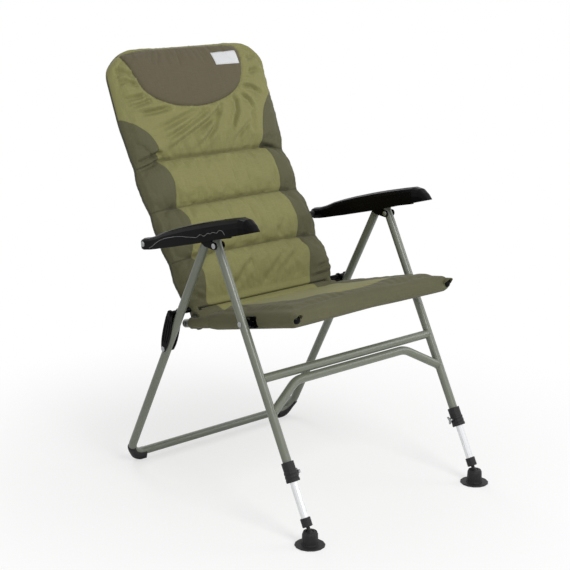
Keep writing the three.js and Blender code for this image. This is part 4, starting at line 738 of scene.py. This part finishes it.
def outline_depth(across, place, outline, rounds=3):
    """Distance in millimetres from a sewn outline with its corners eased, positive inside it."""
    points = np.array(outline, dtype=float)
    for _ in range(rounds):
        after = np.roll(points, -1, axis=0)
        points = np.stack([points * 0.75 + after * 0.25, points * 0.25 + after * 0.75], axis=1).reshape(-1, 2)
    far, inside = np.full(len(across), 1e9), np.zeros(len(across), dtype=bool)
    for (x0, p0), (x1, p1) in zip(points, np.roll(points, -1, axis=0)):
        dx, dp = x1 - x0, p1 - p0
        t = unit(((across - x0) * dx + (place - p0) * dp) / (dx * dx + dp * dp + 1e-9))
        far = np.minimum(far, np.hypot(across - x0 - t * dx, place - p0 - t * dp))
        inside ^= ((p0 > place) != (p1 > place)) & (across < dx * (place - p0) / (dp if dp else 1e-9) + x0)
    return np.where(inside, far, -far)


def bell(value, width):
    """1 where a value is 0, falling away on both sides over a width."""
    return np.exp(-(value / width) ** 2)


def fold_push(across, place, fold):
    """How far a fold moves the cloth: a valley that deepens towards its seam, with a swell on both sides."""
    depth, width = fold[:2]
    route = np.array(fold[2:], dtype=float)
    spans = np.diff(route, axis=0)
    lengths = np.linalg.norm(spans, axis=1)
    best, share, offset = np.full(len(across), 1e9), np.zeros(len(across)), np.zeros(len(across))
    done = 0.0
    for start, span, length in zip(route[:-1], spans, lengths):
        dx, dy = across - start[0], place - start[1]
        t = unit((dx * span[0] + dy * span[1]) / length ** 2)
        far = np.hypot(dx - t * span[0], dy - t * span[1])
        closer = far < best
        best = np.where(closer, far, best)
        offset = np.where(closer, far * np.sign(span[0] * dy - span[1] * dx), offset)
        share = np.where(closer, (done + t * length) / lengths.sum(), share)
        done += length
    fade = smooth(share, -0.02, 0.45) * (1 - 0.45 * smooth(share, 0.88, 1.0))
    lifts = [high * bell(offset - at_side * width, 1.1 * width)
             for high, at_side in ((0.5, 1.9), (0.34, -1.9))]
    return depth * fade * (lifts[0] + lifts[1] - bell(best, width))


co = vectors(back_pad.data)
across, place, out = back_places(co)
wide = np.abs(across)
rest = np.clip(outline_depth(across, place, REST), -80.0, 60.0)
light = np.clip(-outline_depth(across, place, LIGHT), -80.0, 60.0)
seam_far = from_channel(place, across)
front_side = unit((out + 2) / 8)
half = back_half(np.clip(place, PAD_LOW, PAD_TOP))
inside = front_side * unit((half + 2 - wide) / 12) * smooth(place, 34, 60)
# The sewing can't sink below the frame tube, which runs under both sides
sides_held = 1 - 0.75 * smooth(wide, 200, 220)
push = -(3.6 * bell(seam_far, 5.5) + 3.4 * bell(seam_far, 2.2)) * inside * sides_held
push += 2.4 * (1 - bell(seam_far, 20)) * inside
push -= 2.4 * bell(rest + 1.5, 3.2) * front_side
push += 7.0 * (1 - np.exp(-np.clip(rest, 0, 60) / 11)) * front_side
push -= 1.0 * bell(light, 2.2) * front_side * (place < 560)
deeper = (1.4 + 0.45 * smooth(place, 440, 470)) * inside * (rest <= 0) * (1 - 0.4 * smooth(wide, 205, 225))
for fold in FOLDS:
    push += deeper * fold_push(across, place, fold)
for index in np.flatnonzero(inside > 0):
    x, p, d = across[index], place[index], seam_far[index]
    # Short puckers beside each channel, where the thread gathers the cloth
    pucker = exp(-d / 13.0) * noise((x * 0.06, p * 0.006, 3.0)) * 1.8
    # Small gathers close under the headrest's seam, all pointing into it
    gather = 0.0
    if -60 < rest[index] < 0:
        gather = exp(rest[index] / 20.0) * noise((atan2(p - 700, x) * 26.0, 1.7, p * 0.01)) * 2.2
    low = noise((x * 0.012, p * 0.014, 9.0)) * 2.2
    low += noise((x * 0.03 + p * 0.02, p * 0.03 - x * 0.012, 5.0)) * 0.9
    push[index] += (pucker + gather + low * (0.4 if rest[index] > 0 else 1.0)) * inside[index]
pushed = co + vectors(back_pad.data, "normal") * (push * MM)[:, None]
# The cloth lies on the frame tube's front where it would otherwise pass into it
now_across, now_place, now_out = back_places(pushed)
OVER_TUBE = 12.4
clear = np.sqrt(np.maximum(0.0, OVER_TUBE ** 2 - (np.abs(now_across) - BACK_X) ** 2))
beside = (now_out > -1) & (now_place > 50) & (now_place < 660)
short = np.where(beside, np.maximum(0.0, clear - now_out), 0.0)
turned_up = past_bend(now_place)[:, None]
pushed += (BACK_TURN[1] * (1 - turned_up) + UPPER_TURN[1] * turned_up) * (short * MM)[:, None]
moved_to(back_pad, pushed)


def point_fields(made, **fields):
    """Stores numbers at the vertices for a material to read; each field is one value or one a vertex."""
    count = len(made.data.vertices)
    for name, values in fields.items():
        layer = made.data.attributes.new(name, "FLOAT", "POINT")
        layer.data.foreach_set("value", np.full(count, values, dtype=np.float32))


def cloth_fields(made, beyond_light=30.0, into_headrest=-30.0, from_seam=30.0):
    """Millimetres from the sewn lines, for the cloth's colours and the painted shade along its seams; the
    defaults are plain dark cloth.
    """
    point_fields(made, beyond_light=beyond_light, into_headrest=into_headrest, from_seam=from_seam)


# The rear cloth, behind the edge tape, is all dark olive
on_front = out > -1.5
cloth_fields(back_pad, np.where(on_front, light, 30.0), np.where(on_front, rest, -30.0),
             seam_far + (1 - front_side) * 40)


def field(tree, name):
    """A number stored at the vertices."""
    return node(tree, "Attribute", attribute_name=name).outputs["Fac"]


cloth, tree, place = material("woven_polyester_two_olives")
# Yarns are about 0.5 mm apart, too fine for the picture, so the weave is drawn 3 to 4 times coarser
weft, warp = (noisy(node(tree, "Mapping", {"Vector": place, "Scale": scale}).outputs[0], 1.0)
              for scale in ((45.0, 560.0, 560.0), (620.0, 30.0, 30.0)))
yarns = maths("ADD", weft, warp)
fade = noisy(place, 7.0, 3.0)
beyond, head = field(tree, "beyond_light"), field(tree, "into_headrest")
two_tone = mixed(ranged(beyond, 0.0, 1.0, -0.7, 0.7),
                 mixed(fade, "#7C7A4D", "#888653"), mixed(fade, "#504F36", "#5B593E"))
# The headrest's brushed knit is plainer and browner, with a short nap instead of a weave
knit = mixed(noisy(place, 900.0), "#534C38", "#645C48")
tones = mixed(ranged(head, 0.0, 1.0, -0.7, 0.7), two_tone, knit)
# Painted shade: the colour darkens within a few millimetres of the sewn channels, of the light middle's seam
# and of the headrest's seam, where shade falls in their grooves
seam_groove_shade = ranged(field(tree, "from_seam"), 0.5, 1.0, 0.4, 3.0)
two_tone_seam_shade = ranged(maths("ABSOLUTE", beyond), 0.72, 1.0, 0.3, 1.8)
headrest_seam_shade = ranged(maths("ABSOLUTE", head), 0.6, 1.0, 0.3, 2.6)
shade = maths("MULTIPLY", seam_groove_shade, ranged(yarns, 0.88, 1.12, 0.6, 1.4))
shade = maths("MULTIPLY", shade, maths("MULTIPLY", two_tone_seam_shade, headrest_seam_shade))
surfaced(tree, {
    "Base Color": node(tree, "VectorMath", {0: tones, "Scale": shade}, operation="SCALE").outputs[0],
    "Roughness": 0.8, "IOR": 1.46, "Sheen Weight": 0.05, "Sheen Roughness": 0.5,
    "Normal": bumped(yarns, 0.3, 0.0005)})
back_pad.data.materials.clear()
back_pad.data.materials.append(cloth)
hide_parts("back_cushion", "headrest_pillow")
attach(back_pad, "back")

# Label: a bare off-white satin patch, 85 by 38 mm, sewn flat on the headrest near one corner with a
# line of thread inside its folded edge. Nothing is printed on it.
satin, tree, place = material("off_white_polyester_satin")
dash = maths("PINGPONG", field(tree, "along_edge"), 3.2)
band = maths("ABSOLUTE", maths("SUBTRACT", field(tree, "from_edge"), 2.4))
stitch = maths("MULTIPLY", ranged(band, 1.0, 0.0, 0.3, 0.6), ranged(dash, 0.0, 1.0, 1.0, 1.3))
ribs = noisy(place, 1100.0)
surfaced(tree, {
    "Base Color": mixed(stitch, mixed(ribs, "#CFD0D2", "#DEDFE1"), "#9A9B98"),
    "Roughness": 0.45, "IOR": 1.5, "Normal": bumped(ribs, 0.15, 0.0002)})
bpy.context.view_layer.update()
pad_surface = BVHTree.FromObject(back_pad, bpy.context.evaluated_depsgraph_get())


def on_pad(x, place, lift):
    """The place on the pad's front surface, lifted off it, that lies under a point in front of the back."""
    start = on_back(x, place, 90)
    aim = (on_back(x, place, 0) - start).normalized()
    hit, normal, _, _ = pad_surface.ray_cast(start, aim)
    if normal.dot(aim) > 0:
        normal = -normal
    return hit + normal * (lift * MM)


PATCH = np.array(((66, 675), (151, 675), (149, 713), (64, 712)), dtype=float)
PATCH_WIDE, PATCH_TALL = 85, 38
CELLS_WIDE, CELLS_TALL = 34, 16
tops, unders, edges, runs = [], [], [], []
for j in range(CELLS_TALL + 1):
    for i in range(CELLS_WIDE + 1):
        u, v = i / CELLS_WIDE, j / CELLS_TALL
        x, p = (PATCH[0] * (1 - u) + PATCH[1] * u) * (1 - v) + (PATCH[3] * (1 - u) + PATCH[2] * u) * v
        to_end, to_side = min(u, 1 - u) * PATCH_WIDE, min(v, 1 - v) * PATCH_TALL
        near = min(to_end, to_side)
        tops.append(on_pad(x, p, 0.5 + 0.7 * min(1.0, near / 1.2)))
        unders.append(on_pad(x, p, -0.6))
        edges.append(near)
        runs.append(u * PATCH_WIDE if to_side < to_end else v * PATCH_TALL)
row = CELLS_WIDE + 1
total = len(tops)
faces = [(j * row + i, j * row + i + 1, (j + 1) * row + i + 1, (j + 1) * row + i)
         for j in range(CELLS_TALL) for i in range(CELLS_WIDE)]
faces += [tuple(total + k for k in reversed(face)) for face in faces]
border = [*range(row), *(j * row + CELLS_WIDE for j in range(1, CELLS_TALL + 1)),
          *(CELLS_TALL * row + i for i in range(CELLS_WIDE - 1, -1, -1)),
          *(j * row for j in range(CELLS_TALL - 1, 0, -1))]
faces += [(border[k], border[k - 1], total + border[k - 1], total + border[k]) for k in range(len(border))]
label = made_mesh("label_patch", tops + unders, faces, satin, sharp=70)
point_fields(label, from_edge=edges + edges, along_edge=runs + runs)
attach(label, "back")

# Edge binding: a narrow folded tape sewn round the pad's outer edge, over the raw edges of both cloths.
# It is dark grosgrain, so it draws a thin line round the pad.
tape, tree, place = material("dark_grosgrain_tape")
ribs = noisy(place, 1300.0)
surfaced(tree, {
    "Base Color": mixed(ribs, "#33342A", "#45453A"), "Roughness": 0.75, "IOR": 1.47,
    "Normal": bumped(ribs, 0.3, 0.0003)})
# Rays from outside: a side and a place up it, a side and a turn round its top corner, or a place across
one_side = [(1, 0, p) for p in np.linspace(40, CORNER_START, 84)]
one_side += [(1, a, CORNER_START) for a in np.linspace(0, pi / 2, 12)[1:]]
outline = one_side + [(x, None, PAD_TOP) for x in np.linspace(178, -178, 30)[1:]]
outline += [(-1, a, p) for _, a, p in one_side[-2::-1]]
route = []
for where, turn, p in outline:
    if turn is None:
        start, end = on_back(where, 820, 1), on_back(where, 700, 1)
    elif turn:
        corner = back_half(CORNER_START) - PAD_CORNER
        start = on_back(where * (corner + cos(turn) * 140), p + sin(turn) * 140, 1)
        end = on_back(where * corner, p, 1)
    else:
        start, end = on_back(where * 330, p, 1), on_back(0, p, 1)
    hit = pad_surface.ray_cast(start, (end - start).normalized())[0]
    if hit is not None:
        route.append(hit + (start - end).normalized() * (0.3 * MM))
for _ in range(3):
    eased = [(a + b * 2 + c) / 4 for a, b, c in zip(route, route[1:], route[2:])]
    route = [route[0]] + eased + [route[-1]]
binding = made_mesh("edge_binding", *skin(swept_rings(route, 1.7 * MM, sides=10)), tape, sharp=80)
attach(binding, "back")


# Seat pad: the same two cloths over a thicker filling, sleeved on the seat rails, with a tall front
# band, and narrower behind the legs, where it leaves room for the hinge.
def seat_half(along):
    """Half the seat pad's width at a place along the seat."""
    narrow = smooth(along, 168, 196)
    return 276 * (1 - narrow) + 247 * narrow


rings = []
for row in (*np.linspace(-157, -135, 10), *np.linspace(-131, 222, 74)):
    nose = sqrt(min(1.0, max(0.4, 1 - (1 - (row + 157) / 16) ** 2))) if row < -141 else 1.0
    limit = (SEAT_REACH - row) * 0.3
    top = min(21 * nose, limit) - 0.6
    bottom = 20 * nose * (1 - 0.45 * smooth(row, 130, 222)) - 0.6
    high = max(0.0, min((13 - 9 * smooth(row, -60, 110)) * smooth(row, -187, -104), limit - top))
    ring = pad_ring(
        seat_half(row) - 0.6, 14, top, bottom,
        lambda share: high * (1 - abs(share) ** 3.6), lambda share: 3 * (1 - abs(share)) * nose)
    rings.append([on_seat(x, row, out) for x, out in ring])
seat_pad = made_mesh("seat_pad", *skin(rings), cloth)
reshaped(seat_pad, "REMESH", EVEN)
SEAT_TURN = np.array([[0.0, *seat_back], [0.0, *seat_out]])
SEAT_PIVOT = np.array([0.0, seat_pivot.x + MIDDLE, seat_pivot.y])


def seat_places(co):
    """Points in metres as millimetres across the seat, back along it and out of it."""
    flat = (co / MM - SEAT_PIVOT) @ SEAT_TURN.T
    return co[:, 0] / MM, flat[:, 0], flat[:, 1]


across, along, out = seat_places(vectors(seat_pad.data))
grip = np.maximum.reduce([
    unit((np.abs(across) - (seat_half(along) - 34)) / 24.0),
    unit((-132 - along) / 18.0) * 0.9,
    unit((along - 190) / 20.0),
    np.where(out < -8, 0.7, 0)])
filled(seat_pad, grip, pressure=3.0, slack=0.01, cap=4.0)
reshaped(seat_pad, "SUBSURF", FINE)
co = vectors(seat_pad.data)
across, along, out = seat_places(co)
wide = np.abs(across)
top_side = unit(out / 8)
front_line = -100 + 46 * (wide / 172) ** 2
light = np.clip(np.maximum(wide - 171, (front_line - along) * 0.9), -60, 60)
light = np.where(out > 2, light, 30.0)
# Folds in the seat's cloth: across the front band, in the dark sides, and into the hinge
SEAT_FOLDS = (
    (2.4, 8, (-240, -128), (-170, -134), (-90, -128)), (2.2, 9, (40, -132), (130, -136), (220, -126)),
    (2.4, 7, (-262, 20), (-228, 60), (-196, 120)), (2.6, 7, (258, -20), (226, 40), (196, 96)),
    (3.2, 6, (-250, 120), (-212, 160), (-178, 196)), (3.2, 6, (250, 110), (214, 156), (180, 196)),
    (2.0, 9, (-60, 120), (-40, 165), (-10, 205)), (2.0, 9, (90, 110), (60, 160), (50, 205)),
    (2.0, 8, (-262, -70), (-214, -66), (-182, -40)), (2.2, 8, (262, -86), (220, -78), (182, -48)))
push = -1.3 * bell(light, 2.6) * top_side
push += 2.6 * bell(light - 20, 16) * top_side
side_roll = smooth(along, -150, -90) * (1 - smooth(along, 120, 190))
push += 3.4 * bell(wide - 232, 26) * top_side * side_roll
reach_in = top_side * unit((seat_half(along) + 2 - wide) / 12) * (1 - smooth(along, 196, 220))
for fold in SEAT_FOLDS:
    push += fold_push(across, along, fold) * reach_in
front_face = unit((-120 - along) / 20)
for index, (x, p, o) in enumerate(zip(across, along, out)):
    push[index] += noise((x * 0.012, p * 0.02, 4.0)) * 1.6 * top_side[index]
    push[index] += noise((x * 0.008, o * 0.09, p * 0.02)) * 1.5 * front_face[index]
moved_to(seat_pad, co + vectors(seat_pad.data, "normal") * (push * MM)[:, None])
cloth_fields(seat_pad, light)
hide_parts("seat_cushion")
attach(seat_pad, "seat")


# Rail sleeves: the dark cloth goes on past the pads as plain sleeves round the tubes, up to the hinge,
# hemmed at the end and slightly gathered, because it is cut wider than the tube.
def rail_sleeve(name, stations, centre, place_at, across, high, body, seed):
    """A loose cloth sleeve round a tube: stations along it, its half width and half height in millimetres."""
    rings = []
    for number, station in enumerate(stations):
        ends = min(number, len(stations) - 1 - number)
        hem = 0.9 if ends < 2 else 0.0
        ring = []
        for a in circle(40):
            loose = noise((station * 0.05, sin(a) * 1.4 + seed, cos(a) * 1.4)) * 1.3
            tuck = 0.6 * sin(a * 3 + station * 0.12 + seed)
            spread = 1 + (hem + (loose + tuck) * min(1.0, ends / 4)) / high
            x = centre + cos(a) * across * min(spread, 1.02)
            ring.append(place_at(x, station, sin(a) * high * spread))
        rings.append(ring)
    sleeve = made_mesh(name, *skin(rings), cloth, sharp=70)
    cloth_fields(sleeve)
    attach(sleeve, body)


for side, sign in SIDES:
    rail_sleeve(f"seat_rail_sleeve_{side}", np.linspace(158, 241, 26), sign * 263.6, on_seat,
                12.2, 14.0, "seat", sign * 2.0)
    rail_sleeve(f"back_rail_sleeve_{side}", np.linspace(14, 62, 18), sign * 235.2, on_back,
                11.9, 13.2, "back", sign * 5.0)

# Hinge fold: a strip of the same padding that joins the two pads in front of the hinge. It is sewn to
# both, and bunches into soft creases where the sitter's weight presses it.
ROLL_HALF, ROLL_OUTER, ROLL_INNER, ROLL_STOP = 247.2, 30.3, 15.4, 172
rings = []
for x in (*np.linspace(-ROLL_HALF, -215, 17), *np.linspace(-212, 212, 107), *np.linspace(215, ROLL_HALF, 17)):
    # Beside the back frame's tubes the fold goes on in front of the tube only
    beside = smooth(abs(x), 218.5, 222.6)
    ends = sqrt(max(0.3, 1 - (max(0.0, abs(x) - 243.2) / 4.8) ** 2))
    start = 62 + 48 * beside
    outer, inner = [], []
    for k in range(30):
        turn = start + (ROLL_STOP - start) * k / 29
        crease = noise((x * 0.02, turn * 0.07, 2.0)) + abs(noise((x * 0.045, turn * 0.05, 7.0)))
        crease *= 1.6 * smooth(k, 7, 11) * (1 - smooth(k, 26, 29))
        outer.append((turn, ROLL_OUTER - 1.1 * smooth(turn, 92, 100) - (1 - ends) * 3 - crease))
        inner.append((turn, ROLL_INNER + 6.0 * beside + (1 - ends) * 1.5))
    rings.append([on_seat(x, SEAT_REACH + cos(radians(turn)) * r, sin(radians(turn)) * r)
                  for turn, r in outer + inner[::-1]])
hinge_roll = made_mesh("hinge_roll", *skin(rings), cloth, sharp=70)
cloth_fields(hinge_roll, [abs(p.x) / MM - 170 for ring in rings for p in ring])
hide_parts("hinge_fold")
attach(hinge_roll, "hinge_washers")

# Corner flaps: over each front corner the cover runs on as a short stiffened flap, hemmed at its edge,
# that shades the end plug of the seat rail.
for side, sign in SIDES:
    rings = []
    for number, station in enumerate(np.linspace(-148, -168, 12)):
        share = number / 11
        spread = radians(112 - 62 * share ** 1.4)
        reach = 15.4 - 1.6 * share
        fan = np.linspace(-spread, spread, 19)
        sheet = [(a, reach) for a in fan] + [(a, reach - (1.3 if number < 10 else 2.1)) for a in fan[::-1]]
        rings.append([
            on_seat(sign * RAIL_X + sin(a) * r, station - 2.5 * share * cos(a) ** 2, cos(a) * r)
            for a, r in sheet])
    flap = made_mesh(f"corner_flap_{side}", *skin(rings), cloth, sharp=60)
    cloth_fields(flap)
    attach(flap, "seat")
